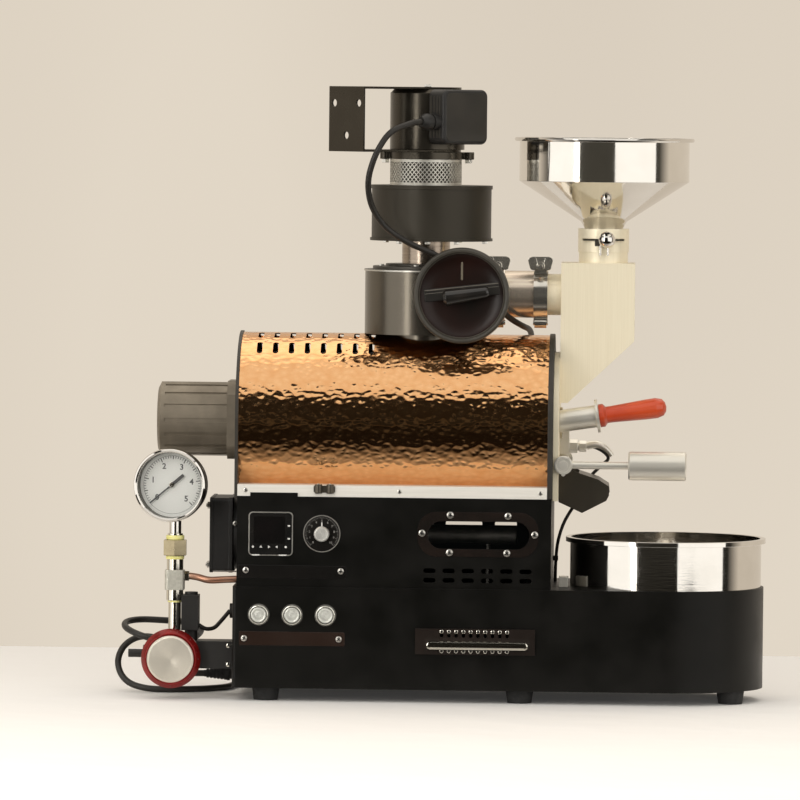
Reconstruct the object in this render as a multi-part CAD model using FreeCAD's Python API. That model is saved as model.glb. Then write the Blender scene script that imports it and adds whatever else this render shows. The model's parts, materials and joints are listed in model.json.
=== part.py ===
import FreeCAD, Part
import math
import os

os.makedirs("parts", exist_ok=True)

# A one-kilogram class gas coffee roaster. While it is built, X runs right from the base's left wall,
# Y runs back from the base's front face and Z runs up from the table. The last lines move
# everything so that the origin is under the middle of the machine. Millimetres.

V = FreeCAD.Vector
RIGHT, BACK, UP = V(1, 0, 0), V(0, 1, 0), V(0, 0, 1)
LEFT, FRONT, DOWN = -RIGHT, -BACK, -UP

# Clearances
seat_gap = 0.3            # between touching curved faces of two bodies
running_gap = 0.05        # a shaft in its bearing, on the radius
sliding_gap = 0.4         # a slide in its guide, each side
hole_gap = 0.25           # a screw or stem in its hole, on the radius

# Base
sheet = 1.5
foot_height = 14
foot_r = 15
base_length = 570
base_depth = 208
base_top = 123
corner_r = 4

# Burner box on the base
box_left = 4
box_right = 341
box_front = 3
box_back = base_depth - box_front
box_top = 220
box_rim = 12

# Drum housing
drum_y = base_depth / 2
drum_z = 298
cover_r = 95
cover_sheet = 1.2
strip_height = 12.5
left_plate = 3.5
right_plate = 5.5
face_plate = 6
face_r = 77
drum_r = 74
drum_wall = 1.5
drum_shaft_r = 8
roof_z = drum_z + cover_r
gate_z0, gate_z1 = 226, 248
gate_half = 30

# Tower
tower_x = 200.5
canister_r = 65.7
canister_height = 68
foot_tube_r = 34
riser_r = 26
riser_height = 25
housing_x = 206
housing_r = 64.8
housing_height = 60
guard_x = 199.4
guard_r = 38.8
guard_height = 28
motor_r = 40.4
motor_height = 65
arm_sheet = 2.5
arm_width = 57
arm_length = 155
outlet_r = 25
outlet_length = 30
outlet_collar = 2

# Duct and chute
duct_rise = 44
duct_z = roof_z + duct_rise
duct_r = 25.5
chute_depth = 60
chute_right = 427
chute_top = duct_z + 35
throat_x = 392.5
sleeve_r = 27.5

# Hopper
hopper_r = 92
hopper_rim_r = 97.5
hopper_height = 98

# Cooling tray
tray_x = 463.5
tray_r = 103.5
tray_height = 52.5

# Discharge
lever_z = 256.4
lever_shaft_r = 5
weight_x = 422.6
weight_r = 15.5
weight_length = 62.2

# Trier
trier_y = drum_y - 42
trier_z = 301.5
trier_tilt = 8.5
trier_r = 9.6
trier_tube_r = 12

# Gas line
gas_y = 40
gauge_x = -67
gauge_z = 229
gauge_r = 39.8
column_x = -64.5
knob_x = -66
knob_z = 44
knob_r = 25

# Controls
button_z = 93
button_r = 11.75
button_pitch = 35.85
button_x = 28.5
drawer_left, drawer_right = 196.6, 325
drawer_bottom, drawer_top = 52.7, 80.5
drawer_length = 165

# Mains lead
lead_r = 3.5


# Shapes
def block(x0, x1, y0, y1, z0, z1):
    return Part.makeBox(x1 - x0, y1 - y0, z1 - z0, V(x0, y0, z0))


def rod(r, start, way, length):
    return Part.makeCylinder(r, length, start, way)


def pipe(r, bore, start, way, length):
    return rod(r, start, way, length).cut(rod(bore, start, way, length))


def join(first, *rest):
    return first.fuse(list(rest)).removeSplitter()


def minus(first, *rest):
    return first.cut(list(rest))


def prism(points, way):
    loop = Part.makePolygon(list(points) + [points[0]])
    return Part.Face(loop).extrude(way)


def aim(shape, start, way):
    shape.Placement = FreeCAD.Placement(start, FreeCAD.Rotation(UP, way))
    return shape


def turned(outline, start, way):
    """A solid of revolution: outline holds (radius, height) pairs along way from start."""
    points = [V(r, 0, h) for r, h in outline]
    face = Part.Face(Part.makePolygon(points + [points[0]]))
    return aim(face.revolve(V(0, 0, 0), UP, 360), start, way)


def hexagon(across, start, way, length, bore=0):
    corner = across / math.sqrt(3)
    points = [V(corner * math.cos(k * math.pi / 3), corner * math.sin(k * math.pi / 3), 0) for k in range(6)]
    nut = prism(points, V(0, 0, length))
    if bore:
        nut = nut.cut(rod(bore, V(0, 0, 0), UP, length))
    return aim(nut, start, way)


def rounded_face(x0, x1, z0, z1, r, y):
    """An upright plate outline with rounded corners, at depth y."""
    quarter = math.sqrt(0.5)
    edges = []
    spots = [(x1 - r, z0 + r, -1), (x1 - r, z1 - r, 0), (x0 + r, z1 - r, 1), (x0 + r, z0 + r, 2)]
    last = None
    first = None
    for cx, cz, turn in spots:
        a = turn * math.pi / 2
        start = V(cx + r * math.cos(a), y, cz + r * math.sin(a))
        mid = V(cx + r * math.cos(a + math.pi / 4), y, cz + r * math.sin(a + math.pi / 4))
        end = V(cx + r * math.cos(a + math.pi / 2), y, cz + r * math.sin(a + math.pi / 2))
        if last is not None and last.distanceToPoint(start) > 1e-6:
            edges.append(Part.LineSegment(last, start).toShape())
        edges.append(Part.Arc(start, mid, end).toShape())
        first = first or start
        last = end
    if last.distanceToPoint(first) > 1e-6:
        edges.append(Part.LineSegment(last, first).toShape())
    return Part.Face(Part.Wire(edges))


def plaque(x0, x1, z0, z1, r, y0, y1):
    return rounded_face(x0, x1, z0, z1, r, y0).extrude(V(0, y1 - y0, 0))


def arch(r, z0, x0, x1, centre_z=drum_z):
    """An n-shaped plate across X: a half round of radius r on straight legs down to z0."""
    left = V(x0, drum_y - r, z0)
    right = V(x0, drum_y + r, z0)
    spring_left = V(x0, drum_y - r, centre_z)
    spring_right = V(x0, drum_y + r, centre_z)
    edges = [
        Part.LineSegment(left, spring_left).toShape(),
        Part.Arc(spring_left, V(x0, drum_y, centre_z + r), spring_right).toShape(),
        Part.LineSegment(spring_right, right).toShape(),
        Part.LineSegment(right, left).toShape(),
    ]
    return Part.Face(Part.Wire(edges)).extrude(V(x1 - x0, 0, 0))


def screw(spot, way, head_r=3.5, head=2.2, shank_r=2, shank=6):
    """A pan head screw whose head stands on spot and whose shank goes the other way."""
    head_solid = turned([(0, 0), (head_r, 0), (head_r, head * 0.45), (head_r * 0.7, head), (0, head)], spot, way)
    return join(head_solid, rod(shank_r, spot, -way, shank))


def route_tube(points, r, name):
    """A round tube along straight runs joined by arcs as large as the runs allow."""
    points = [V(*p) for p in points]
    edges = []
    radii = []
    last = points[0]
    for before, corner, after in zip(points, points[1:], points[2:]):
        into = corner.sub(before)
        out = after.sub(corner)
        turn = into.getAngle(out)
        tangent = 0.45 * min(into.Length, out.Length)
        radii.append(tangent / math.tan(turn / 2))
        start = corner.sub(V(into).normalize() * tangent)
        end = corner.add(V(out).normalize() * tangent)
        bulge = V(out).normalize().sub(V(into).normalize()).normalize()
        middle = corner.add(bulge * (radii[-1] / math.cos(turn / 2) - radii[-1]))
        edges.append(Part.LineSegment(last, start).toShape())
        edges.append(Part.Arc(start, middle, end).toShape())
        last = end
    edges.append(Part.LineSegment(last, points[-1]).toShape())
    path = Part.Wire(edges)
    way = points[1].sub(points[0])
    section = Part.Wire(Part.makeCircle(r, points[0], way))
    tube = path.makePipeShell([section], True, False)
    ratio = tube.Volume / (math.pi * r * r * path.Length)
    print(name, "length", round(path.Length, 1), "tightest arc", round(min(radii), 1), "volume ratio", round(ratio, 4))
    return tube, path.Length


nodes = {}


def keep(name, *solids):
    nodes[name] = Part.makeCompound(list(solids)) if len(solids) > 1 else solids[0]


# Base: a stadium shaped case on six feet
def base_outline(inset, z):
    r = base_depth / 2 - inset
    c = corner_r - min(inset, corner_r - 1)
    middle = base_length - base_depth / 2
    diagonal = c * (1 - math.sqrt(0.5))
    x0, y0, y1 = inset, inset, base_depth - inset
    edges = [
        Part.LineSegment(V(x0 + c, y0, z), V(middle, y0, z)).toShape(),
        Part.Arc(V(middle, y0, z), V(middle + r, base_depth / 2, z), V(middle, y1, z)).toShape(),
        Part.LineSegment(V(middle, y1, z), V(x0 + c, y1, z)).toShape(),
        Part.Arc(V(x0 + c, y1, z), V(x0 + diagonal, y1 - diagonal, z), V(x0, y1 - c, z)).toShape(),
        Part.LineSegment(V(x0, y1 - c, z), V(x0, y0 + c, z)).toShape(),
        Part.Arc(V(x0, y0 + c, z), V(x0 + diagonal, y0 + diagonal, z), V(x0 + c, y0, z)).toShape(),
    ]
    return Part.Face(Part.Wire(edges))


button_spots = [V(button_x + k * button_pitch, 0, button_z) for k in range(3)]
button_stem_r = 7.5
foot_places = [(35.5, 25), (308.5, 25), (base_length - 35, 50)]
foot_spots = [V(x, y, 0) for x, inset in foot_places for y in (inset, base_depth - inset)]
foot_screw_r = 3
fan_floor_r = 46
tray_air_r = 86
lead_gland_y, lead_gland_z = 100, 22
gland_r = 6.5
solenoid_lead_y, solenoid_lead_z = 60, 92.7
grommet_r = 8
strip_low = (7.6, 121, 60, 75)
strip_high = (5.5, 122, 132, 146)
low_screws = [V(13, 0, 67.5), V(114.6, 0, 67.5)]
high_screws = [V(14, box_front, 140.5), V(116, box_front, 140.5)]
strip_sheet = 1.0
rear_inlet = V(306, base_depth, 100)
drawer_overlap = 1.4


def build_base():
    solid = base_outline(0, foot_height).extrude(V(0, 0, base_top - foot_height))
    hollow = base_outline(sheet, foot_height + sheet).extrude(V(0, 0, base_top - foot_height - 2 * sheet))
    shell = minus(solid, hollow)
    tools = [
        rod(tray_air_r, V(tray_x, drum_y, base_top - 5), UP, 10),
        rod(fan_floor_r, V(tray_x, drum_y, foot_height - 5), UP, 10),
        block(drawer_left + drawer_overlap, drawer_right - drawer_overlap, -5, 5,
              drawer_bottom + drawer_overlap, drawer_top - drawer_overlap),
        rod(gland_r - 1.5, V(-5, lead_gland_y, lead_gland_z), RIGHT, 10),
        rod(grommet_r - 1.5, V(-5, solenoid_lead_y, solenoid_lead_z), RIGHT, 10),
        rod(4, V(rear_inlet.x, base_depth - 5, rear_inlet.z), BACK, 10),
        block(box_left + 30, box_right - 30, drum_y - 64, drum_y + 64, base_top - 5, base_top + 5),
    ]
    tools += [rod(button_stem_r + hole_gap, V(b.x, -5, b.z), BACK, 10) for b in button_spots]
    tools += [rod(2 + hole_gap, V(s.x, -5, s.z), BACK, 10) for s in low_screws]
    tools += [rod(foot_screw_r + hole_gap, V(f.x, f.y, foot_height - 5), UP, 10) for f in foot_spots]
    keep("base_shell", minus(shell, *tools))
    feet = []
    for f in foot_spots:
        taper = turned([(0, 0), (foot_r - 2, 0), (foot_r, foot_height), (0, foot_height)], f, UP)
        feet.append(join(taper, rod(foot_screw_r, V(f.x, f.y, foot_height), UP, 8)))
    keep("rubber_feet", *feet)


# Burner box with its window, vents and panel holes
controller = (16.7, 64.3, 156.3, 203.4)
dial_x, dial_z, dial_r = 95.3, 180.5, 20.5
window_out = (198, 327.5, 157.6, 205.7)
window_in = (208.8, 317.9, 166, 195.5)
window_screws = [(232.8, 202.2), (294.7, 201.8), (202.7, 182.5), (323.4, 182), (232.3, 162.0), (293.8, 162.0)]
vent_rows = (142.3, 132.1)
burner_z = 176
burner_r = 9
burner_bore = 7.6
burner_step = 22
feed_arm_r = 4.4
vent_size = (13, 5)
side_fan_z = 174
side_fan_r = 36
copper_r = 3.75
copper_hole = (34, 129)
rear_slots = [(222, 262), (276, 300)]


def build_burner_box():
    outer = block(box_left, box_right, box_front, box_back, base_top, box_top)
    inner = block(box_left + sheet, box_right - sheet, box_front + sheet, box_back - sheet,
                  base_top + sheet, box_top - sheet)
    top = block(box_left + box_rim, box_right - box_rim, box_front + box_rim, box_back - box_rim,
                box_top - 5, box_top + 5)
    floor = block(box_left + 30, box_right - 30, drum_y - 64, drum_y + 64, base_top - 5, base_top + 5)
    front = box_front - 5
    tools = [inner, top, floor]
    tools.append(block(controller[0] + 2, controller[1] - 2, front, front + 10, controller[2] + 2, controller[3] - 2))
    tools.append(rod(5, V(dial_x, front, dial_z), BACK, 10))
    x0, x1, z0, z1 = window_in
    tools.append(plaque(x0, x1, z0, z1, (z1 - z0) / 2 - 0.01, front, front + 10))
    w, h = vent_size
    for z in vent_rows:
        for k in range(6):
            x = 211 + 20.6 * k
            tools.append(plaque(x - w / 2, x + w / 2, z - h / 2, z + h / 2, h / 2 - 0.01, front, front + 10))
    tools += [rod(2 + hole_gap, V(x, front, z), BACK, 10) for x, z in window_screws]
    tools += [rod(2 + hole_gap, V(s.x, front, s.z), BACK, 10) for s in high_screws]
    tools.append(rod(side_fan_r, V(box_left - 5, drum_y, side_fan_z), RIGHT, 10))
    tools.append(rod(copper_r + hole_gap, V(box_left - 5, *copper_hole), RIGHT, 10))
    for x0, x1 in rear_slots:
        tools.append(plaque(x0, x1, burner_z, burner_z + 10, 4, box_back - 5, box_back + 5))
    tab = block(18, 69, box_front, box_front + 1.2, box_top, box_top + 4)
    keep("burner_box", join(minus(outer, *tools), tab))

    burners = []
    sides = (drum_y - burner_step, drum_y + burner_step)
    for y in sides:
        tube = pipe(burner_r, burner_bore, V(30, y, burner_z), RIGHT, 270)
        end = rod(burner_r, V(300, y, burner_z), RIGHT, 2)
        holes = [rod(1.4, V(40 + 12.5 * k, y, burner_z), UP, 12) for k in range(21)]
        burners.append(minus(join(tube, end), *holes))
    manifold = minus(rod(8, V(26, drum_y - 40, burner_z), BACK, 80), rod(6, V(26, drum_y - 36, burner_z), BACK, 72))
    inlet_y, inlet_z = copper_hole
    riser_y = drum_y - 36
    feed_arm = join(rod(feed_arm_r, V(box_left + 8, inlet_y, inlet_z), RIGHT, 22),
                    rod(feed_arm_r, V(26, inlet_y, inlet_z), BACK, riser_y + 2 - inlet_y),
                    rod(feed_arm_r, V(26, riser_y, inlet_z), UP, burner_z - inlet_z - 4))
    cradle = []
    for x in (60, 270):
        leg = block(x, x + 3, drum_y - 32, drum_y + 32, base_top + sheet, burner_z - 8.6)
        cradle.append(minus(leg, *[rod(burner_r, V(50, y, burner_z), RIGHT, 240) for y in sides]))
    body = join(minus(manifold, *[rod(burner_bore - 0.8, V(10, y, burner_z), RIGHT, 30) for y in sides]), *burners)
    keep("gas_burners", join(body, feed_arm), *cradle)


# Strip that the drum housing stands on
strip_z0 = box_top
strip_z1 = box_top + strip_height
cover_half_width = math.sqrt(cover_r ** 2 - (drum_z - strip_z1) ** 2)
plate_left_x = box_left - left_plate
strip_screws = [13, 178, 329]


def build_strip():
    outer = block(box_left, box_right - right_plate + 0.5, box_front + 1.5, box_back - 1.5, strip_z0, strip_z1)
    under = block(box_left - 1, box_right + 1, box_front + 1.5 + sheet, box_back - 1.5 - sheet,
                  strip_z0 - 1, strip_z1 - sheet)
    window = block(box_left + 3, box_right - 8, drum_y - cover_half_width + 4, drum_y + cover_half_width - 4,
                   strip_z0, strip_z1 + 1)
    holes = [rod(1.5 + hole_gap, V(x, 0, strip_z0 + 6.5), BACK, 10) for x in strip_screws]
    keep("saddle_strip", minus(outer, under, window, *holes))


# Drum housing: a hammered sheet rolled round the drum between two end plates
vent_columns = 8
vent_pitch = 17.2
vent_width = 6
vent_rows_deg = [(6.7, 19.3), (26.4, 39)]


def roof_slots():
    slots = []
    for k in range(vent_columns):
        x = 24 + vent_pitch * k
        for low, high in vent_rows_deg:
            for side in (1, -1):
                middle = math.radians((low + high) / 2) * side
                out = V(0, -math.sin(middle), math.cos(middle))
                along = V(0, math.cos(middle), math.sin(middle))
                length = math.radians(high - low) * cover_r
                half = length / 2 - vent_width / 2
                centre = V(x, drum_y, drum_z).add(out * (cover_r - 6))
                ends = [rod(vent_width / 2, centre.add(along * s), out, 12) for s in (half, -half)]
                a = centre.add(along * half).add(RIGHT * (-vent_width / 2))
                b = centre.add(along * -half).add(RIGHT * (-vent_width / 2))
                body = prism([a, b, b.add(RIGHT * vent_width), a.add(RIGHT * vent_width)], out * 12)
                slots += ends + [body]
    return slots


def build_housing():
    x0, x1 = box_left, box_right - right_plate + 0.5
    barrel = pipe(cover_r, cover_r - cover_sheet, V(x0, drum_y, drum_z), RIGHT, x1 - x0)
    below = block(x0 - 1, x1 + 1, drum_y - 2 * cover_r, drum_y + 2 * cover_r, drum_z - 2 * cover_r, strip_z1)
    keep("drum_cover", minus(barrel, below, *roof_slots()))
    left = arch(cover_r + 1.5, strip_z0 - 3, plate_left_x, box_left)
    left = minus(left, rod(drum_shaft_r + 3, V(plate_left_x - 1, drum_y, drum_z), RIGHT, 10))
    right = arch(cover_r + 1.5, box_top, x1, box_right + 0.5)
    shell_hole = rod(drum_r - 8, V(x1 - 1, drum_y, drum_z), RIGHT, 10)
    gate_hole = block(x1 - 1, box_right + 1, drum_y - gate_half, drum_y + gate_half, gate_z0, gate_z1)
    keep("drum_end_plates", left, minus(right, shell_hole, gate_hole))


# Face plate: feed, discharge, trier and shaft openings
face_x0 = box_right + 0.5
face_x1 = face_x0 + face_plate
feed_z0, feed_z1 = 323, 350
probe_spot = V(face_x1 + 10, drum_y + 42, 271)
trier_way = V(math.cos(math.radians(trier_tilt)), 0, math.sin(math.radians(trier_tilt)))
trier_mouth = V(face_x1, trier_y, trier_z)


def build_face():
    plate = arch(face_r, box_top - 3, face_x0, face_x1)
    through = face_x0 - 1
    tools = [
        block(through, face_x1 + 1, drum_y - 24, drum_y + 24, feed_z0, feed_z1),
        block(through, face_x1 + 1, drum_y - gate_half, drum_y + gate_half, gate_z0, gate_z1),
        rod(drum_shaft_r + 3, V(through, drum_y, drum_z), RIGHT, 10),
        rod(trier_r + 0.8, trier_mouth.sub(trier_way * 20), trier_way, 40),
        rod(3 + hole_gap, V(through, probe_spot.y, probe_spot.z), RIGHT, 10),
    ]
    keep("face_plate", minus(plate, *tools))


# Drum, its bearings and its geared motor
drum_x0 = box_left + 6
drum_x1 = face_x0 - right_plate - 6
motor_x1 = plate_left_x
motor_body = 76
motor_flange = 12
gear_r = 40


def build_drum():
    length = drum_x1 - drum_x0
    wall = pipe(drum_r, drum_r - drum_wall, V(drum_x0, drum_y, drum_z), RIGHT, length)
    back = rod(drum_r, V(drum_x0, drum_y, drum_z), RIGHT, 2)
    lip = pipe(drum_r, drum_r - 6, V(drum_x1 - 2, drum_y, drum_z), RIGHT, 2)
    shaft_start = plate_left_x - 6
    shaft_end = face_x1 + 1
    shaft = rod(drum_shaft_r, V(shaft_start, drum_y, drum_z), RIGHT, shaft_end - shaft_start)
    pieces = [back, lip, shaft]
    for x in (drum_x1 - 60, drum_x0 + 100):
        for k in range(3):
            arm = block(x, x + 4, drum_y - 5, drum_y + 5, drum_z, drum_z + drum_r - drum_wall / 2)
            arm.rotate(V(x, drum_y, drum_z), RIGHT, 120 * k + 30)
            pieces.append(arm)
    for k in range(4):
        vane = block(drum_x0 + 1, drum_x1 - 1, drum_y - 1, drum_y + 1, drum_z + drum_r - 16, drum_z + drum_r - drum_wall / 2)
        vane.rotate(V(drum_x0, drum_y, drum_z), RIGHT, 90 * k + 12)
        pieces.append(vane)
    keep("roasting_drum", join(wall, *pieces))

    bore = drum_shaft_r + running_gap
    rear = turned([(bore, -left_plate), (drum_shaft_r + 3, -left_plate), (drum_shaft_r + 3, 0),
                   (drum_shaft_r + 10, 0), (drum_shaft_r + 10, 2), (bore, 2)], V(box_left, drum_y, drum_z), RIGHT)
    front = turned([(bore, -face_plate), (drum_shaft_r + 3, -face_plate), (drum_shaft_r + 3, 0),
                    (drum_shaft_r + 9, 0), (drum_shaft_r + 9, 3), (bore, 3)], V(face_x1, drum_y, drum_z), RIGHT)
    keep("drum_bearings", rear, front)

    flange_x = motor_x1 - motor_flange
    flange = block(flange_x, motor_x1, drum_y - gear_r - 2, drum_y + gear_r + 2, drum_z - gear_r - 2, drum_z + gear_r + 2)
    flange = flange.common(rod(gear_r + 10, V(flange_x, drum_y, drum_z), RIGHT, motor_flange))
    body = turned([(0, 0), (gear_r, 0), (gear_r, motor_body - 3), (gear_r - 6, motor_body), (0, motor_body + 1)],
                  V(flange_x, drum_y, drum_z), LEFT)
    ribs = []
    for k in range(16):
        rib = block(flange_x - motor_body + 8, flange_x, drum_y - 2, drum_y + 2, drum_z + gear_r - 4, drum_z + gear_r + 5)
        rib.rotate(V(flange_x, drum_y, drum_z), RIGHT, 22.5 * k)
        ribs.append(rib)
    grooves = [minus(r, rod(gear_r - 1.2, V(flange_x - 100, drum_y, drum_z), RIGHT, 120)) for r in ribs]
    socket = rod(drum_shaft_r + hole_gap, V(motor_x1 - 8, drum_y, drum_z), RIGHT, 9)
    keep("drum_motor", minus(join(flange, body), socket, *grooves))


# Side fan that feeds the burner box
fan_side = 80
fan_depth = 25
fan_adapter = 8


def build_side_fan():
    x1 = box_left
    x0 = x1 - fan_adapter - fan_depth
    half = fan_side / 2
    case = block(x0, x1 - fan_adapter, drum_y - half, drum_y + half, side_fan_z - half, side_fan_z + half)
    case = case.makeFillet(4, [e for e in case.Edges if abs(e.tangentAt(e.FirstParameter).x) > 0.9])
    neck = rod(side_fan_r + 2.5, V(x1 - fan_adapter, drum_y, side_fan_z), RIGHT, fan_adapter)
    hub_r = 18
    bore = rod(side_fan_r, V(x0 - 1, drum_y, side_fan_z), RIGHT, fan_depth + fan_adapter + 2)
    spider = [rod(hub_r, V(x1 - fan_adapter - 3, drum_y, side_fan_z), RIGHT, 3)]
    for k in range(4):
        spoke = block(x1 - fan_adapter - 3, x1 - fan_adapter, drum_y - 2, drum_y + 2, side_fan_z, side_fan_z + side_fan_r + 2)
        spoke.rotate(V(x0, drum_y, side_fan_z), RIGHT, 45 + 90 * k)
        spider.append(spoke)
    pin = rod(2.5, V(x0 + 6, drum_y, side_fan_z), RIGHT, x1 - fan_adapter - x0 - 6)
    keep("side_fan_frame", join(minus(join(case, neck), bore), *spider, pin))
    hub_x0 = x0 + 3
    hub_x1 = x1 - fan_adapter - 3 - seat_gap
    hub = rod(hub_r - 1, V(hub_x0, drum_y, side_fan_z), RIGHT, hub_x1 - hub_x0)
    blades = []
    for k in range(7):
        blade = block(hub_x0 + 3, hub_x1 - 3, drum_y - 0.8, drum_y + 0.8, side_fan_z + hub_r - 4, side_fan_z + side_fan_r - 2)
        blade.rotate(V((hub_x0 + hub_x1) / 2, drum_y, side_fan_z), UP, 35)
        blade.rotate(V(hub_x0, drum_y, side_fan_z), RIGHT, 360 / 7 * k)
        blades.append(blade)
    limit = rod(side_fan_r - 1.2, V(hub_x0, drum_y, side_fan_z), RIGHT, hub_x1 - hub_x0)
    rotor = join(hub, *blades).common(limit)
    keep("side_fan_rotor", minus(rotor, rod(2.5 + running_gap, V(x0 + 5, drum_y, side_fan_z), RIGHT, fan_depth)))


# Tower: chaff canister, lid and riser
canister_z0 = roof_z
canister_z1 = roof_z + canister_height
lid_z1 = canister_z1 + 8
riser_z1 = lid_z1 + riser_height
stub_r = 22
stub_x0 = tower_x + 26
port_x1 = tower_x + canister_r + 10
wheel_x, wheel_z = 242, duct_z
spindle_r = 4
boss_r = 9


def wall_at(x, r=canister_r):
    """Depth of the canister's front wall at x."""
    return drum_y - math.sqrt(r ** 2 - (x - tower_x) ** 2)


def build_tower():
    wall = pipe(canister_r, canister_r - sheet, V(tower_x, drum_y, canister_z0), UP, canister_height)
    floor = rod(canister_r, V(tower_x, drum_y, canister_z0), UP, sheet)
    foot = minus(rod(foot_tube_r, V(tower_x, drum_y, roof_z - 10), UP, 10.5),
                 rod(cover_r, V(tower_x - 60, drum_y, drum_z), RIGHT, 120))
    stub = rod(stub_r + sheet, V(stub_x0, drum_y, duct_z), RIGHT, port_x1 - stub_x0)
    boss_y0 = wall_at(wheel_x - boss_r) - 3
    boss = rod(boss_r, V(wheel_x, boss_y0, wheel_z), BACK, drum_y - stub_r - boss_y0)
    outside = join(wall, floor, foot, stub, boss)
    bore = rod(stub_r, V(stub_x0 - 1, drum_y, duct_z), RIGHT, 100)
    spindle_hole = rod(spindle_r + running_gap, V(wheel_x, 0, wheel_z), BACK, drum_y + stub_r + 5)
    ring = pipe(duct_r, stub_r, V(port_x1 - 4, drum_y, duct_z), RIGHT, 4)
    keep("canister", minus(join(outside, ring), bore, spindle_hole))

    z = canister_z1
    lid = turned([(riser_r - sheet, 0), (canister_r + 1.2, 0), (canister_r + 1.2, 2), (57.5, 2), (57.5, 5.5),
                  (43.5, 5.5), (43.5, 8), (riser_r, 8), (riser_r, 8 + riser_height),
                  (riser_r - sheet, 8 + riser_height)], V(tower_x, drum_y, z), UP)
    keep("canister_lid", lid)


# Blower on the riser
blower_z0 = riser_z1
blower_z1 = blower_z0 + housing_height
impeller_r = 50
motor_shaft_r = 4
motor_z0 = blower_z1 + guard_height + 10.5
motor_z1 = motor_z0 + motor_height
bracket_way = V(0.73, 0.68, 0).normalize()
bracket_side = V(0.68, -0.73, 0).normalize()
ear_x = 45
tower_bolt_angles = [235, 268, 300, 150, 60, 0]


def build_blower():
    wall = 2
    outlet_y1 = drum_y + housing_r + outlet_length
    centre = V(housing_x, drum_y, blower_z0)
    case = rod(housing_r, centre, UP, housing_height)
    flange = rod(housing_r + 1.6, centre, UP, 3)
    lip = pipe(housing_r + 1.2, housing_r - 1, V(housing_x, drum_y, blower_z1 - 4), UP, 4)
    spout_z = blower_z0 + housing_height / 2
    collar = rod(outlet_r + 1.5, V(housing_x, drum_y, spout_z), BACK, housing_r + outlet_collar)
    spout = join(rod(outlet_r, V(housing_x, drum_y, spout_z), BACK, outlet_y1 - drum_y), collar)
    inside = rod(housing_r - wall, V(housing_x, drum_y, blower_z0 + wall), UP, housing_height - 2 * wall)
    spout_bore = rod(outlet_r - wall, V(housing_x, drum_y, spout_z), BACK, outlet_y1 - drum_y + 1)
    inlet = rod(riser_r - sheet, V(tower_x, drum_y, blower_z0 - 1), UP, wall + 2)
    shaft_hole = rod(motor_shaft_r + 4, V(tower_x, drum_y, blower_z1 - wall - 1), UP, wall + 3)
    holes = []
    for angle in tower_bolt_angles:
        a = math.radians(angle)
        spot = V(housing_x + 58 * math.cos(a), drum_y + 58 * math.sin(a), blower_z0 - 1)
        holes.append(rod(2 + hole_gap, spot, UP, wall + 2))
    keep("blower_housing", minus(join(case, flange, lip, spout), inside, spout_bore, inlet, shaft_hole, *holes))

    hub_z0 = blower_z0 + 8
    disc = rod(impeller_r, V(tower_x, drum_y, hub_z0), UP, 2)
    hub = rod(12, V(tower_x, drum_y, hub_z0), UP, 24)
    shaft = rod(motor_shaft_r, V(tower_x, drum_y, hub_z0 + 20), UP, blower_z1 + guard_height + 12 - hub_z0 - 20)
    blades = []
    for k in range(12):
        blade = block(tower_x + 20, tower_x + impeller_r, drum_y - 0.8, drum_y + 0.8, hub_z0 + 1, hub_z0 + 38)
        blade.rotate(V(tower_x + 36, drum_y, hub_z0), UP, 35)
        blade.rotate(V(tower_x, drum_y, hub_z0), UP, 30 * k)
        blades.append(blade)
    wheel = join(disc, hub, shaft, *blades)
    keep("blower_impeller", wheel.common(rod(impeller_r + 2, V(tower_x, drum_y, hub_z0), UP, 120)))

    wall_r = guard_r - 1.2
    cage = pipe(guard_r, wall_r, V(guard_x, drum_y, blower_z1), UP, guard_height)
    windows = []
    for k in range(16):
        window = block(guard_x, guard_x + guard_r + 3, drum_y - 5.6, drum_y + 5.6, blower_z1 + 4, blower_z1 + guard_height - 4)
        window.rotate(V(guard_x, drum_y, 0), UP, 22.5 * k)
        windows.append(window)
    floor_ring = pipe(guard_r, motor_shaft_r + 6, V(guard_x, drum_y, blower_z1), UP, 1.2)
    keep("blower_guard", join(minus(cage, *windows), floor_ring))


def build_motor():
    base_z = blower_z1 + guard_height
    axis = V(tower_x, drum_y, base_z)
    cap_h = motor_z0 - base_z - arm_sheet
    total = motor_z1 - base_z
    outline = [(0, 0), (motor_r, 0), (motor_r, cap_h), (20, cap_h), (20, motor_z0 - base_z), (motor_r, motor_z0 - base_z),
               (motor_r, total - 4), (motor_r - 4, total), (0, total)]
    body = turned(outline, axis, UP)
    ears = [rod(6, axis.add(RIGHT * s), UP, cap_h) for s in (ear_x, -ear_x)]
    links = [block(tower_x - 46, tower_x + 46, drum_y - 5, drum_y + 5, base_z, base_z + cap_h)]
    body = join(body, *ears, *links)
    shaft_hole = rod(motor_shaft_r + running_gap, axis, UP, 14)
    bolt_holes = [rod(2.5 + hole_gap, axis.add(RIGHT * s), UP, cap_h) for s in (ear_x, -ear_x)]
    nose_hole = rod(2.5, V(tower_x, drum_y, motor_z1 - 12), UP, 14)
    keep("blower_motor", minus(body, shaft_hole, nose_hole, *bolt_holes))


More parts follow.
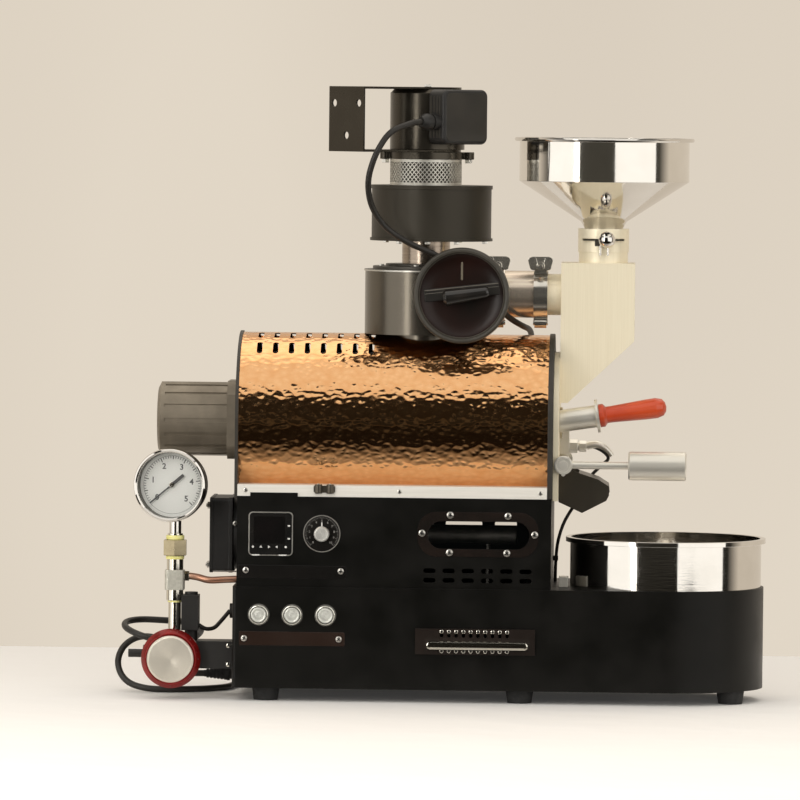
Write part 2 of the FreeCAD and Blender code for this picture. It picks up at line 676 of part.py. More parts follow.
def build_bracket():
    """A U of sheet: two arms reach over and under the motor from an upright plate."""
    top = motor_z1 + arm_sheet
    foot = motor_z0 - arm_sheet
    reach = arm_length - arm_width / 2
    far = V(tower_x, drum_y, 0).add(bracket_way * (reach - 115.7))
    near = far.sub(bracket_way * reach)
    arms = []
    for z in (motor_z1, foot):
        half = bracket_side * (arm_width / 2)
        a, b = near.add(half), far.add(half)
        c, d = far.sub(half), near.sub(half)
        arm = prism([V(p.x, p.y, z) for p in (a, b, c, d)], UP * arm_sheet)
        arms.append(join(arm, rod(arm_width / 2, V(far.x, far.y, z), UP, arm_sheet)))
    half = bracket_side * (arm_width / 2)
    a, b = near.add(half), near.sub(half)
    inner = bracket_way * arm_sheet
    plate = prism([V(p.x, p.y, foot) for p in (a, b, b.add(inner), a.add(inner))], UP * (top - foot))
    middle = V(near.x, near.y, (top + foot) / 2 + bracket_hole_rise)
    holes = []
    for k in range(3):
        angle = math.radians(30 + 120 * k)
        spot = middle.add(bracket_side * (bracket_pcd / 2 * math.cos(angle))).add(UP * (bracket_pcd / 2 * math.sin(angle)))
        holes.append(rod(bracket_hole_r, spot.sub(bracket_way * 5), bracket_way, 15))
    cap_hole = rod(20 + hole_gap, V(tower_x, drum_y, foot - 1), UP, arm_sheet + 2)
    nose = rod(2.5 + hole_gap, V(tower_x, drum_y, motor_z1 - 1), UP, arm_sheet + 2)
    ear_holes = [rod(2.5 + hole_gap, V(tower_x + s, drum_y, foot - 1), UP, arm_sheet + 2) for s in (ear_x, -ear_x)]
    keep("blower_bracket", minus(join(plate, *arms), cap_hole, nose, *ear_holes, *holes))
    return middle


bracket_pcd = 46.19
bracket_hole_rise = 5.5
bracket_hole_r = 4
terminal_size = (64, 24, 59)
terminal_z0 = motor_z0 + 6
gland_length = 22


def build_terminal():
    length, deep, high = terminal_size
    centre = V(tower_x, drum_y, 0).add(bracket_side * (motor_r + deep / 2 - 1))
    box = Part.makeBox(deep, length, high, V(-deep / 2, -length / 2, 0))
    box = box.makeFillet(8, [e for e in box.Edges if abs(e.tangentAt(e.FirstParameter).x) > 0.9])
    box = box.makeFillet(3.5, [e for e in box.Edges if abs(e.CenterOfMass.x - deep / 2) < 0.1])
    angle = math.degrees(math.atan2(bracket_side.y, bracket_side.x))
    box.Placement = FreeCAD.Placement(V(centre.x, centre.y, terminal_z0), FreeCAD.Rotation(UP, angle))
    box = box.cut(rod(motor_r, V(tower_x, drum_y, terminal_z0 - 5), UP, high + 10))
    end = centre.sub(bracket_way * (length / 2))
    gland_start = V(end.x, end.y, terminal_z0 + 24)
    gland = turned([(0, -3), (9, -3), (9, 8), (7.5, 8), (7.5, 10), (9, 10), (9, 16), (5.5, gland_length), (0, gland_length)],
                   gland_start, -bracket_way)
    keep("terminal_box", join(box, gland))
    return gland_start.sub(bracket_way * gland_length)


# Duct from the canister to the chute, with its two clamps
bead_height = 2
duct_x1 = 325.4


def build_duct():
    duct = pipe(duct_r, duct_r - sheet, V(port_x1, drum_y, duct_z), RIGHT, duct_x1 - port_x1)
    bead = pipe(duct_r + bead_height, duct_r - sheet, V(duct_x1 - 3, drum_y, duct_z), RIGHT, 3)
    keep("exhaust_duct", join(duct, bead))
    clamps = []
    for x0, x1 in ((port_x1 - 3.8, port_x1 + 10.2), (duct_x1 - 7.5, duct_x1 + 7.5)):
        bead = duct_r + bead_height + 0.1
        middle = (x0 + x1) / 2
        if x0 < port_x1:
            band = pipe(duct_r + 4, duct_r, V(x0, drum_y, duct_z), RIGHT, x1 - x0)
        else:
            band = turned([(duct_r + 0.1, 0), (bead + 2.5, 0), (bead + 2.5, x1 - x0), (duct_r + 0.1, x1 - x0),
                           (duct_r + 0.1, x1 - x0 - 4.3), (bead, x1 - x0 - 4.3), (bead, 4.3), (duct_r + 0.1, 4.3)],
                          V(x0, drum_y, duct_z), RIGHT)
        lug = block(x0 + 1, x1 - 1, drum_y - 24, drum_y - 10, duct_z + duct_r - 3, duct_z + duct_r + 11)
        lug = minus(lug, rod(duct_r + 3, V(x0, drum_y, duct_z), RIGHT, 20))
        bolt = rod(3, V(middle, drum_y - 36, duct_z + duct_r + 6), BACK, 14)
        wing = block(x0 - 2, x1 + 2, drum_y - 34, drum_y - 29, duct_z + duct_r + 3.5, duct_z + duct_r + 16)
        hinge = rod(5.5, V(x0 + 1, drum_y - 12, duct_z - duct_r - 5), RIGHT, x1 - x0 - 2)
        clamps.append(join(band, lug, bolt, wing, hinge))
    keep("duct_clamps", *clamps)


# Chute: a bent box with a gate sleeve on top and a ferrule on its left wall
chute_y0 = drum_y - chute_depth / 2
chute_y1 = drum_y + chute_depth / 2
sleeve_z1 = chute_top + 37
gate_z = chute_top + 24.5
gate_sheet = 1.5
gate_r = 21.5
hopper_spigot_r = 20.5
hopper_rim_z = sleeve_z1 + hopper_height


def chute_outline(t):
    left = face_x1 + t
    right = chute_right - t
    slope_low = V(356 + t * 0.3, 0, 321 + t * 1.6)
    slope_high = V(right, 0, chute_top - 84 - t * 0.4)
    return [V(left, 0, chute_top - t), V(right, 0, chute_top - t), slope_high, slope_low, V(left, 0, 321 + t * 1.6)]


def build_chute():
    outer = prism([V(p.x, chute_y0, p.z) for p in chute_outline(0)], BACK * chute_depth)
    inner = prism([V(p.x, chute_y0 + sheet, p.z) for p in chute_outline(sheet)], BACK * (chute_depth - 2 * sheet))
    throat = V(throat_x, drum_y, chute_top - 1)
    neck = turned([(0, 0), (sleeve_r - 1, 0), (sleeve_r - 1, 12.5), (sleeve_r, 12.5), (sleeve_r, sleeve_z1 - chute_top + 1),
                   (0, sleeve_z1 - chute_top + 1)], throat, UP)
    ferrule = join(rod(22.25, V(duct_x1, drum_y, duct_z), RIGHT, face_x1 - duct_x1 + 1),
                   rod(duct_r + bead_height, V(duct_x1, drum_y, duct_z), RIGHT, 3))
    body = join(outer, neck, ferrule)
    neck_bore = rod(sleeve_r - 2, throat.sub(UP * 1), UP, sleeve_z1 - 3 - chute_top + 2)
    mouth = rod(hopper_spigot_r + 0.5, V(throat_x, drum_y, sleeve_z1 - 5), UP, 10)
    ferrule_bore = rod(20.6, V(duct_x1 - 1, drum_y, duct_z), RIGHT, face_x1 - duct_x1 + 5)
    feed = block(face_x1 - 1, face_x1 + sheet + 1, drum_y - 24, drum_y + 24, 325, feed_z1)
    slot = block(throat_x - gate_r - 1, throat_x + gate_r + 1, drum_y - sleeve_r - 5, drum_y - 8,
                 gate_z - sliding_gap, gate_z + gate_sheet + sliding_gap)
    body = minus(body, inner, neck_bore, mouth, ferrule_bore, feed, slot)
    rails = []
    for side in (-1, 1):
        x = throat_x + side * (gate_r + 0.8)
        low = block(x - 1.2, x + 1.2, drum_y - 8, drum_y + 10, gate_z - sliding_gap - 1, gate_z - sliding_gap)
        rails.append(low)
    keep("feed_chute", join(body, *rails))


def build_gate():
    plate = rod(gate_r, V(throat_x, drum_y, gate_z), UP, gate_sheet)
    tongue = block(throat_x - gate_r, throat_x + gate_r, drum_y - sleeve_r - 2, drum_y, gate_z, gate_z + gate_sheet)
    y0 = drum_y - sleeve_r
    lip = block(throat_x - 9, throat_x + 9, y0 - 4, y0 - 2, gate_z - 6, gate_z + gate_sheet)
    stem = rod(2.5, V(throat_x + 4, y0 - 7, gate_z - 0.5), BACK, 4)
    ball = Part.makeSphere(9, V(throat_x + 4, y0 - 14, gate_z + 1))
    prongs = [rod(1.3, V(throat_x + s, y0 - 3, gate_z - 16), UP, 11) for s in (-3, 5)]
    keep("hopper_gate", join(plate, tongue, lip, stem, ball, *prongs))


def build_hopper():
    t = 1.2
    z0 = sleeve_z1 - 9
    low = sleeve_z1 + 7.6
    wide = sleeve_z1 + 51
    neck_r = 25
    outline = [(hopper_spigot_r - t, z0), (hopper_spigot_r, z0), (hopper_spigot_r, sleeve_z1 + 0.2), (neck_r, low),
               (hopper_r, wide), (hopper_r, hopper_rim_z - 4), (hopper_rim_r - 1, hopper_rim_z - 4),
               (hopper_rim_r, hopper_rim_z - 2), (hopper_rim_r - 1, hopper_rim_z), (hopper_r - t, hopper_rim_z),
               (hopper_r - t, wide + 0.6), (neck_r - t, low + 0.6), (hopper_spigot_r - t, sleeve_z1 + 0.6)]
    keep("bean_hopper", turned(outline, V(throat_x, drum_y, 0), UP))


# Handwheel with a fold-out handle, turning a plate in the canister's port
wheel_r = 51.5
wheel_depth = 16
wheel_stand = 10.3          # from the canister's foremost line to the wheel's back
wheel_y1 = drum_y - canister_r - wheel_stand
wheel_y0 = wheel_y1 - wheel_depth
handle_tilt = 9
handle_pivot = 40.7
handle_r = 9                 # at the free end
handle_root_r = 6.4
handle_length = 52
handle_pin_r = 1.5
handle_pin_z = 5
neck_length = 15.5


def build_handwheel():
    start = V(wheel_x, wheel_y1, wheel_z)
    deep = wheel_depth
    hub_back = wall_at(wheel_x - boss_r) - 3 - seat_gap
    dish = turned([(0, -4), (13, -4), (13, 0), (36, 0), (43, 2), (wheel_r - 3, 2), (wheel_r, 5), (wheel_r, deep - 3),
                   (wheel_r - 3, deep), (wheel_r - 8, deep), (wheel_r - 10, 5), (36, 3.5), (0, 3.5)], start, FRONT)
    bar = block(-44, 44, -6, 6, 0, 7)
    bar.Placement = FreeCAD.Placement(start, FreeCAD.Rotation(BACK, -handle_tilt).multiply(FreeCAD.Rotation(RIGHT, 90)))
    slot = block(handle_pivot - neck_length - 1, handle_pivot + 4.2, -3.4, 3.4, 1.8, deep + 1)
    slot.Placement = bar.Placement
    pin_bore = rod(handle_pin_r + running_gap, V(handle_pivot, -5, handle_pin_z), BACK, 10)
    pin_bore.Placement = bar.Placement.multiply(pin_bore.Placement)
    bush = rod(9, V(wheel_x, wheel_y1, wheel_z), BACK, hub_back - wheel_y1)
    bore = rod(spindle_r, V(wheel_x, wheel_y0 + 9, wheel_z), BACK, 60)
    keep("handwheel", minus(join(dish, bar, bush), slot, pin_bore, bore))

    local = FreeCAD.Placement(start, FreeCAD.Rotation(BACK, -handle_tilt).multiply(FreeCAD.Rotation(RIGHT, 90)))
    grip_z = 7 + seat_gap + handle_r
    clear = deep - handle_pin_z + seat_gap
    grip = turned([(0, 0), (handle_root_r - 1.5, 0), (handle_root_r, 2.5), (handle_r, handle_length - 6),
                   (handle_r - 2.5, handle_length - 3), (0, handle_length - 3)], V(handle_pivot - clear, 0, grip_z), LEFT)
    neck = block(handle_pivot - neck_length, handle_pivot + 2, -2.8, 2.8, handle_pin_z - 2, handle_pin_z + 2)
    step = block(handle_pivot - neck_length, handle_pivot - clear, -2.8, 2.8, handle_pin_z - 2, grip_z)
    pin = rod(handle_pin_r, V(handle_pivot, -4.9, handle_pin_z), BACK, 9.8)
    handle = join(grip, neck, step, pin)
    handle.Placement = local
    keep("wheel_handle", handle)

    spindle_end = drum_y + stub_r + sheet
    spindle = rod(spindle_r, V(wheel_x, wheel_y0 + 9, wheel_z), BACK, spindle_end - wheel_y0 - 9)
    plate = rod(stub_r - 0.8, V(wheel_x, drum_y, wheel_z - 0.8), UP, 1.6)
    keep("throttle_plate", join(spindle, plate))
    return local.multVec(V(handle_pivot, 0, handle_pin_z))


# Discharge: spout, door on a cross shaft, lever with counterweight
shaft_x = 353
spout_half = 36


def build_discharge():
    outline = [(face_x1, 257), (368, 246), (390, 239), (401, 232), (402, 222), (399, 216), (373, 202.5), (face_x1, 214)]
    y0, y1 = drum_y - spout_half, drum_y + spout_half
    solid = prism([V(x, y0, z) for x, z in outline], BACK * (y1 - y0))
    t = 1.2
    cavity = [(face_x1 - 1, 257 - 1), (367.5, 246 - t), (389.5, 239 - t), (400.6, 229), (402.5, 222), (399.6, 214.4),
              (373.2, 202.5 + t), (face_x1 - 1, 214.4 + t)]
    hollow = prism([V(x, y0 + t, z) for x, z in cavity], BACK * (y1 - y0 - 2 * t))
    mouth = prism([V(x, y0 + t, z) for x, z in ((399.5, 231), (412, 231), (412, 190), (371, 190), (374, 203.8))],
                  BACK * (y1 - y0 - 2 * t))
    over_shaft = block(face_x1 - 1, 369, y0 + t, y1 - t, 238, 262)
    shaft_notch = block(face_x1 - 1, 362, y0 - 1, y1 + 1, 247, 262)
    keep("discharge_spout", minus(solid, hollow, mouth, over_shaft, shaft_notch))

    ears = []
    inside_plate = block(face_x1 - 20, face_x1, 0, base_depth, lever_z - 20, lever_z + 20)
    for ey in (drum_y - face_r + 6, drum_y + face_r - 12):
        ear = join(block(face_x1, shaft_x, ey, ey + 6, lever_z - 8, lever_z + 8),
                   rod(8, V(shaft_x, ey, lever_z), BACK, 6))
        bore = rod(lever_shaft_r + running_gap, V(shaft_x, ey - 1, lever_z), BACK, 8)
        ears.append(minus(ear, bore, inside_plate))
    probe_block = block(face_x1, probe_spot.x, probe_spot.y - 8, probe_spot.y + 8, probe_spot.z - 9, probe_spot.z + 17)
    probe_block = minus(probe_block, rod(3 + hole_gap, V(face_x1 - 1, probe_spot.y, probe_spot.z), RIGHT, 20))
    tray_stop = block(349, 359, drum_y - 52, drum_y - 28, base_top, base_top + 11)

    boss_length = 11.5
    boss_y0 = drum_y - face_r - boss_length - 1
    boss = rod(10, V(shaft_x, boss_y0, lever_z), BACK, boss_length)
    shaft_y1 = drum_y + face_r - 2
    shaft = rod(lever_shaft_r, V(shaft_x, boss_y0, lever_z), BACK, shaft_y1 - boss_y0)
    arm_y = boss_y0 + 5.5
    arm = rod(4, V(shaft_x + 5, arm_y, lever_z), RIGHT, weight_x - shaft_x - 4)
    weight = turned([(0, 0), (weight_r - 1.5, 0), (weight_r, 1.5), (weight_r, weight_length - 1.5),
                     (weight_r - 1.5, weight_length), (0, weight_length)], V(weight_x, arm_y, lever_z), RIGHT)
    leaf = block(face_x1 + seat_gap, face_x1 + seat_gap + 3, drum_y - gate_half - 3, drum_y + gate_half + 3,
                 gate_z0 - 4, gate_z1 + 3)
    lug = block(face_x1 + seat_gap, shaft_x + 2, drum_y - 14, drum_y + 14, gate_z1, lever_z)
    bore = rod(lever_shaft_r, V(shaft_x, drum_y - 20, lever_z), BACK, 40)
    keep("discharge_lever", join(boss, shaft, arm, weight), minus(join(leaf, lug), bore))
    return [*ears, probe_block, tray_stop]


# Trier: a scoop in a tilted tube, with a red handle
trier_tube_length = 43
trier_reach = 92


def build_trier(fittings):
    tube_start = trier_mouth
    tube = rod(trier_tube_r, tube_start.sub(trier_way * 6), trier_way, trier_tube_length + 6)
    flange = rod(18, tube_start.add(trier_way * (trier_tube_length - 3)), trier_way, 3)
    bore = rod(trier_r + sliding_gap, tube_start.sub(trier_way * 20), trier_way, 90)
    plate_cut = block(face_x0 - 50, face_x1, 0, base_depth, 250, 350)
    keep("face_fittings", minus(join(tube, flange), bore, plate_cut), *fittings)

    end = tube_start.add(trier_way * (trier_tube_length + 0.5))
    start = end.sub(trier_way * trier_reach)
    scoop = rod(trier_r, start, trier_way, trier_reach)
    inside = rod(trier_r - 1.4, start.add(trier_way * 1.5), trier_way, 44)
    opening = Part.makeBox(44, 30, 20, V(1.5, -15, 2))
    opening.Placement = FreeCAD.Placement(start, FreeCAD.Rotation(BACK, -trier_tilt))
    keep("trier_scoop", minus(scoop, inside, opening))
    handle = turned([(0, 0), (12.5, 0), (12.5, 5), (9, 8), (9, 14), (10.8, 50), (11, 62), (9, 69), (5, 72), (0, 73)],
                    end, trier_way)
    keep("trier_handle", handle)


def build_probe():
    spot = probe_spot
    nut = hexagon(13, spot, RIGHT, 9)
    thread = rod(3, spot, LEFT, 30)
    tail = rod(5, spot.add(RIGHT * 9), RIGHT, 6)
    neck = rod(2.5, spot.add(RIGHT * 15), RIGHT, 4)
    keep("bean_probe", join(nut, thread, tail, neck))
    return spot.add(RIGHT * 19)


# Wiring that the machine holds along its whole way
blower_lead_r = 3.25
probe_lead_r = 1.8
solenoid_lead_r = 2.2


def build_leads(gland_tip, probe_tip):
    g = gland_tip
    way = -bracket_way
    front = drum_y - canister_r
    blower = [
        (g.x, g.y, g.z),
        (g.x + 12 * way.x, g.y + 12 * way.y, g.z - 1),
        (164, drum_y - 101, duct_z + 176),
        (149, drum_y - 106, duct_z + 152),
        (140, drum_y - 101, duct_z + 123),
        (143, drum_y - 90, duct_z + 96),
        (158, front - 13.3, duct_z + 72),
        (184, front - 7.3, duct_z + 55),
        (214, front - 1.3, duct_z + 43),
        (243, front + 3.7, duct_z + 25),
        (port_x1 - 8.2, front + 15.7, duct_z + 1),
        (port_x1 + 13.8, drum_y - 28, duct_z - 24),
        ((port_x1 + duct_x1) / 2 + 5.2, drum_y - 1, duct_z - 34.5),
        (314, drum_y + 34, duct_z - 39),
        (315, base_depth - 36, duct_z - 53),
        (313, base_depth - 9, duct_z - 77),
        (309, base_depth + 7, 328),
        (306, base_depth + 11, 288),
        (304.5, base_depth + 10, 236),
        (307, base_depth + 9.4, 178),
        (rear_inlet.x, base_depth + 9, rear_inlet.z + 15),
    ]
    blower_tube, blower_length = route_tube(blower, blower_lead_r, "blower lead")
    p = probe_tip
    probe = [
        (p.x, p.y, p.z),
        (p.x + 10, p.y, p.z - 1),
        (p.x + 19, p.y + 1, p.z - 6),
        (p.x + 25, p.y + 3, p.z - 13),
        (p.x + 17, p.y + 5, p.z - 20),
        (378, p.y + 6, 236),
        (367, p.y + 6, 212),
        (352, p.y + 5, 188),
        (345.5, p.y + 4, 166),
        (343.8, p.y + 4.5, 145),
        (343.6, p.y + 4, base_top),
    ]
    probe_tube, probe_length = route_tube(probe, probe_lead_r, "probe lead")
    solenoid = [
        (solenoid_x + 9.5, gas_y, 78),
        (-31, 42, 73.5),
        (-22, 49, 74),
        (-14, 56, 83),
        (-6, solenoid_lead_y, solenoid_lead_z),
    ]
    solenoid_tube, _ = route_tube(solenoid, solenoid_lead_r, "solenoid lead")
    block_size = 9
    inlet = block(rear_inlet.x - block_size, rear_inlet.x + block_size, base_depth, base_depth + 2 * block_size,
                  rear_inlet.z - 9, rear_inlet.z + 15)
    gland = turned([(0, 0), (gland_r, 0), (gland_r, 6), (lead_r + 1.2, 26), (0, 26)],
                   V(0, lead_gland_y, lead_gland_z), LEFT)
    gland = join(gland, rod(gland_r - 2, V(0, lead_gland_y, lead_gland_z), RIGHT, 6))
    grommet = rod(grommet_r, V(-6, solenoid_lead_y, solenoid_lead_z), RIGHT, 6)
    clip = minus(block(box_right, box_right + 5.5, p.y - 1, p.y + 9, 146, 151), rod(probe_lead_r, V(343.8, p.y + 4.4, 140), UP, 20))
    keep("wiring_leads", blower_tube, probe_tube, solenoid_tube, inlet, gland, grommet, clip)


solenoid_x = -47.5
regulator_top = 62


# Gas line: gauge on a column, valve, regulator and copper feed
def build_gas():
    hexes = hexagon(24, V(column_x, gas_y, 150.5), UP, 26.5)
    nipple = rod(9.2, V(column_x, gas_y, 137.6), UP, 13)
    tee = block(column_x - 10.5, column_x + 10.5, gas_y - 10, gas_y + 10, 116, 137.6)
    tee = tee.makeChamfer(2.5, [e for e in tee.Edges if abs(e.tangentAt(e.FirstParameter).z) > 0.9])
    lower = rod(9.2, V(column_x, gas_y, 105), UP, 11)
    stem = rod(6.5, V(column_x, gas_y, regulator_top), UP, 105 - regulator_top)
    column = join(hexes, nipple, tee, lower, stem)
    spud = rod(5.5, V(column_x + 10.5, gas_y, 131), RIGHT, 5)
    spud_x1 = column_x + 15.5
    copper_route = [(spud_x1, gas_y, 131), (spud_x1 + 9, gas_y - 1, 130), (-28, gas_y - 4, 126.6),
                    (-14, copper_hole[0] + 1, 127.6), (box_left + 8, *copper_hole)]
    feed, _ = route_tube(copper_route, copper_r, "copper feed")
    keep("gas_fittings", join(column, spud), feed)

    coil = block(solenoid_x - 9, solenoid_x + 9.5, gas_y - 13, gas_y + 13, 73, 111)
    coil = minus(coil, rod(9.4, V(column_x, gas_y, 60), UP, 60))
    core = rod(7, V(solenoid_x + 1, gas_y, regulator_top), UP, 114 - regulator_top)
    solenoid = join(coil, core)

    box_y0, box_y1 = 22, 58
    case = block(-92, 0, box_y0, box_y1, 32.5, regulator_top)
    stem_boss = rod(14, V(knob_x, 12, knob_z), BACK, box_y0 - 12)
    inlet = turned([(0, 0), (9, 0), (9, 6), (inlet_r, 6), (inlet_r, 6 + inlet_length), (2.6, 6 + inlet_length), (2.6, 1), (0, 1)],
                   V(-92, gas_y, 47), LEFT)
    spindle_hole = rod(5 + running_gap, V(knob_x, 0, knob_z), BACK, 30)
    keep("gas_valves", minus(join(case, stem_boss, inlet), spindle_hole), solenoid)

    dial = turned([(0, 0), (knob_r + 7, 0), (knob_r + 7, 4), (knob_r + 3, 9), (knob_r, 9), (knob_r, 16), (knob_r - 1.5, 17.5),
                   (0, 17.5)], V(knob_x, 11, knob_z), FRONT)
    spindle = rod(5, V(knob_x, 11, knob_z), BACK, 17)
    keep("regulator_knob", join(dial, spindle))


inlet_r = 4.5
inlet_length = 16
gauge_deep = 26
gauge_turn = -8


def gauge_spot():
    return V(gauge_x, gas_y + 12, gauge_z)


def gauge_way():
    turn = math.radians(gauge_turn)
    return V(math.sin(turn), -math.cos(turn), 0)


def build_gauge():
    spot, way = gauge_spot(), gauge_way()
    case = turned([(0, 0), (gauge_r - 4, 0), (gauge_r - 2, 3), (gauge_r - 2, gauge_deep - 8), (gauge_r, gauge_deep - 7),
                   (gauge_r, gauge_deep - 1.5), (gauge_r - 2, gauge_deep), (gauge_r - 4.5, gauge_deep),
                   (gauge_r - 4.5, 10), (0, 10)], spot, way)
    stem = rod(6.5, V(column_x, gas_y, 177), UP, 16)
    pivot = rod(1, spot.add(way * 8), way, 8)
    low = rod(11, V(column_x, gas_y, 186), UP, 6)
    well = rod(gauge_r - 4.5, spot.add(way * 10), way, gauge_deep)
    keep("gauge_case", join(minus(join(case, stem), well), pivot))
    glass = rod(gauge_r - 4.5, spot.add(way * (gauge_deep - 4)), way, 2)
    hub = rod(4, spot.add(way * 12), way, 2.5)
    point = join(block(-0.9, 0.9, -needle_tail, needle_length, 0, 1), block(-1.7, 1.7, -needle_tail, -3, 0, 1))
    lift = FreeCAD.Placement(spot.add(way * 13), FreeCAD.Rotation(UP, gauge_turn).multiply(FreeCAD.Rotation(RIGHT, 90)))
    point.rotate(V(0, 0, 0), UP, -needle_rest)
    point.Placement = lift.multiply(point.Placement)
    needle = minus(join(hub, point), rod(1 + running_gap, spot.add(way * 11), way, 6))
    keep("gauge_needle", needle)
    return glass


needle_rest = -130            # degrees clockwise from upright, at zero pressure
needle_length = 31
needle_tail = 18


# Front panels
def build_panel(gauge_glass):
    x0, x1, z0, z1 = window_out
    y = box_front
    frame = plaque(x0, x1, z0, z1, 20, y - 1.2, y)
    holes = [rod(2 + hole_gap, V(x, y - 5, z), BACK, 10) for x, z in window_screws]
    a, b, c, d = window_in
    opening = plaque(a, b, c, d, (d - c) / 2 - 0.01, y - 5, y + 5)
    keep("window_frame", minus(frame, opening, *holes))
    back = box_front + sheet
    glass = plaque(x0 + 2, x1 - 2, z0 + 1.5, z1 - 1.5, 19, back, back + 2.5)
    holes = [rod(2 + hole_gap, V(x, y - 5, z), BACK, 15) for x, z in window_screws]
    keep("glass_panes", minus(glass, *holes), gauge_glass)

    plates = []
    for (a, b, c, d), y1, spots in ((strip_low, 0, low_screws), (strip_high, box_front, high_screws)):
        plate = plaque(a, b, c, d, 1.5, y1 - strip_sheet, y1)
        plates.append(minus(plate, *[rod(2 + hole_gap, V(s.x, y1 - 5, s.z), BACK, 10) for s in spots]))
    disc = pipe(dial_r, 5, V(dial_x, box_front - strip_sheet, dial_z), BACK, strip_sheet)
    keep("label_plates", *plates, disc)

    a, b, c, d = controller
    bezel = plaque(a, b, c, d, 3.5, y - 2.5, y)
    body = block(a + 2.4, b - 2.4, y, y + 60, c + 2.4, d - 2.4)
    recess = plaque(a + 3.5, b - 3.5, c + 3.5, d - 3.5, 1.5, y - 3, y - 1.6)
    keep("heat_controller", minus(join(bezel, body), recess))

    knob = turned([(0, 0), (8, 0), (8, 9), (6.8, 11), (0, 11)], V(dial_x, y - strip_sheet - 0.5, dial_z), FRONT)
    stem = rod(3, V(dial_x, y - strip_sheet - 0.5, dial_z), BACK, 20)
    keep("dial_knob", join(knob, stem))
    pot = minus(rod(11, V(dial_x, y + sheet, dial_z), BACK, 18),
                rod(3 + running_gap, V(dial_x, y, dial_z), BACK, 18.5))
    nut = pipe(4.9, 3 + running_gap, V(dial_x, y - strip_sheet, dial_z), BACK, sheet + strip_sheet)
    return join(pot, nut)


button_travel = 2


def build_buttons(dial_pot):
    for name, spot in zip(("start_button", "cool_button", "lamp_button"), button_spots):
        back = -0.7 - button_travel
        cap = turned([(0, 0), (8.2, 0), (8.2, 3.1), (7.4, 3.9), (0, 3.9)], V(spot.x, back, spot.z), FRONT)
        stem = rod(4, V(spot.x, back, spot.z), BACK, 16)
        keep(name, join(cap, stem))
    bodies = []
    for spot in button_spots:
        ring = pipe(button_r, 8.2 + sliding_gap, V(spot.x, -5.4, spot.z), BACK, 5.4)
        ring = ring.makeChamfer(1, [e for e in ring.Edges if abs(e.CenterOfMass.y + 5.4) < 0.01])
        barrel = pipe(button_stem_r, 4 + running_gap, V(spot.x, 1.5, spot.z), BACK, 30)
        web = pipe(button_stem_r, 4 + running_gap, V(spot.x, 0, spot.z), BACK, 2)
        nut = pipe(11, button_stem_r - 0.5, V(spot.x, sheet, spot.z), BACK, 4)
        floor = pipe(8.2 + sliding_gap + 1, 4 + running_gap, V(spot.x, -0.6, spot.z), BACK, 0.6)
        bodies.append(join(ring, floor, web, barrel, nut))
    keep("panel_controls", *bodies, dial_pot)


# Chaff drawer in the base, on two runners
handle_rise = 20


def build_drawer():
    y = 0
    front = block(drawer_left, drawer_right, y - 2.5, y, drawer_bottom, drawer_top)
    x0 = drawer_left + drawer_overlap + 1.2
    x1 = drawer_right - drawer_overlap - 1.2
    z0 = drawer_bottom + drawer_overlap + 0.8
    z1 = drawer_top - drawer_overlap - 1.5
    tray = block(x0, x1, y, drawer_length, z0, z1)
    well = block(x0 + 1.2, x1 - 1.2, y, drawer_length - 1.2, z0 + 1.2, z1 + 1)
    slots = [plaque(225 + 7.8 * k - 1.8, 225 + 7.8 * k + 1.8, 56, 60, 1.7, y - 5, y + 1) for k in range(10)]
    slots += [plaque(225 + 7.8 * k - 1.8, 225 + 7.8 * k + 1.8, 71, 75.5, 1.7, y - 5, y + 1) for k in range(10)]
    handle_holes = [rod(2 + hole_gap, V(x, y - 5, 63), BACK, 10) for x in (214, 313)]
    keep("chaff_drawer", minus(join(front, minus(tray, well)), *slots, *handle_holes))
    bar = block(212, 315, y - handle_rise, y - handle_rise + 5, 58.5, 68)
    bar = bar.makeFillet(2.2, [e for e in bar.Edges if abs(e.tangentAt(e.FirstParameter).x) > 0.9])
    posts = [block(x0, x0 + 9, y - handle_rise, y - 2.5, 58.7, 67.8) for x0 in (208, 310)]
    posts = [p.makeFillet(2, [e for e in p.Edges if abs(e.tangentAt(e.FirstParameter).y) > 0.9]) for p in posts]
    studs = [rod(2, V(x, y - 4, 63), BACK, 8) for x in (214, 313)]
    keep("drawer_handle", join(bar, *posts, *studs))


def drawer_runners():
    z0 = drawer_bottom + drawer_overlap + 0.8
    x0 = drawer_left + drawer_overlap + 1.2
    x1 = drawer_right - drawer_overlap - 1.2
    runners = []
    for side, x in ((-1, x0), (1, x1)):
        wall_x0 = x + (side * sliding_gap if side > 0 else side * sliding_gap - 1.5)
        floor_x0 = wall_x0 if side < 0 else x - 8
        floor = block(floor_x0, floor_x0 + 8 + sliding_gap + 1.5, sheet, 175, z0 - 2, z0 - 0.3)
        wall = block(wall_x0, wall_x0 + 1.5, sheet, 175, z0 - 2, z0 + 12)
        leg = block(floor_x0, floor_x0 + 8, 168, 175, foot_height + sheet, z0 - 1.9)
        leg2 = block(floor_x0, floor_x0 + 8, 20, 27, foot_height + sheet, z0 - 1.9)
        runners.append(join(floor, wall, leg, leg2))
    return runners


# Cooling tray with sieve, stirrer, its motor and the fan below
sieve_z = 130
stir_r = 5


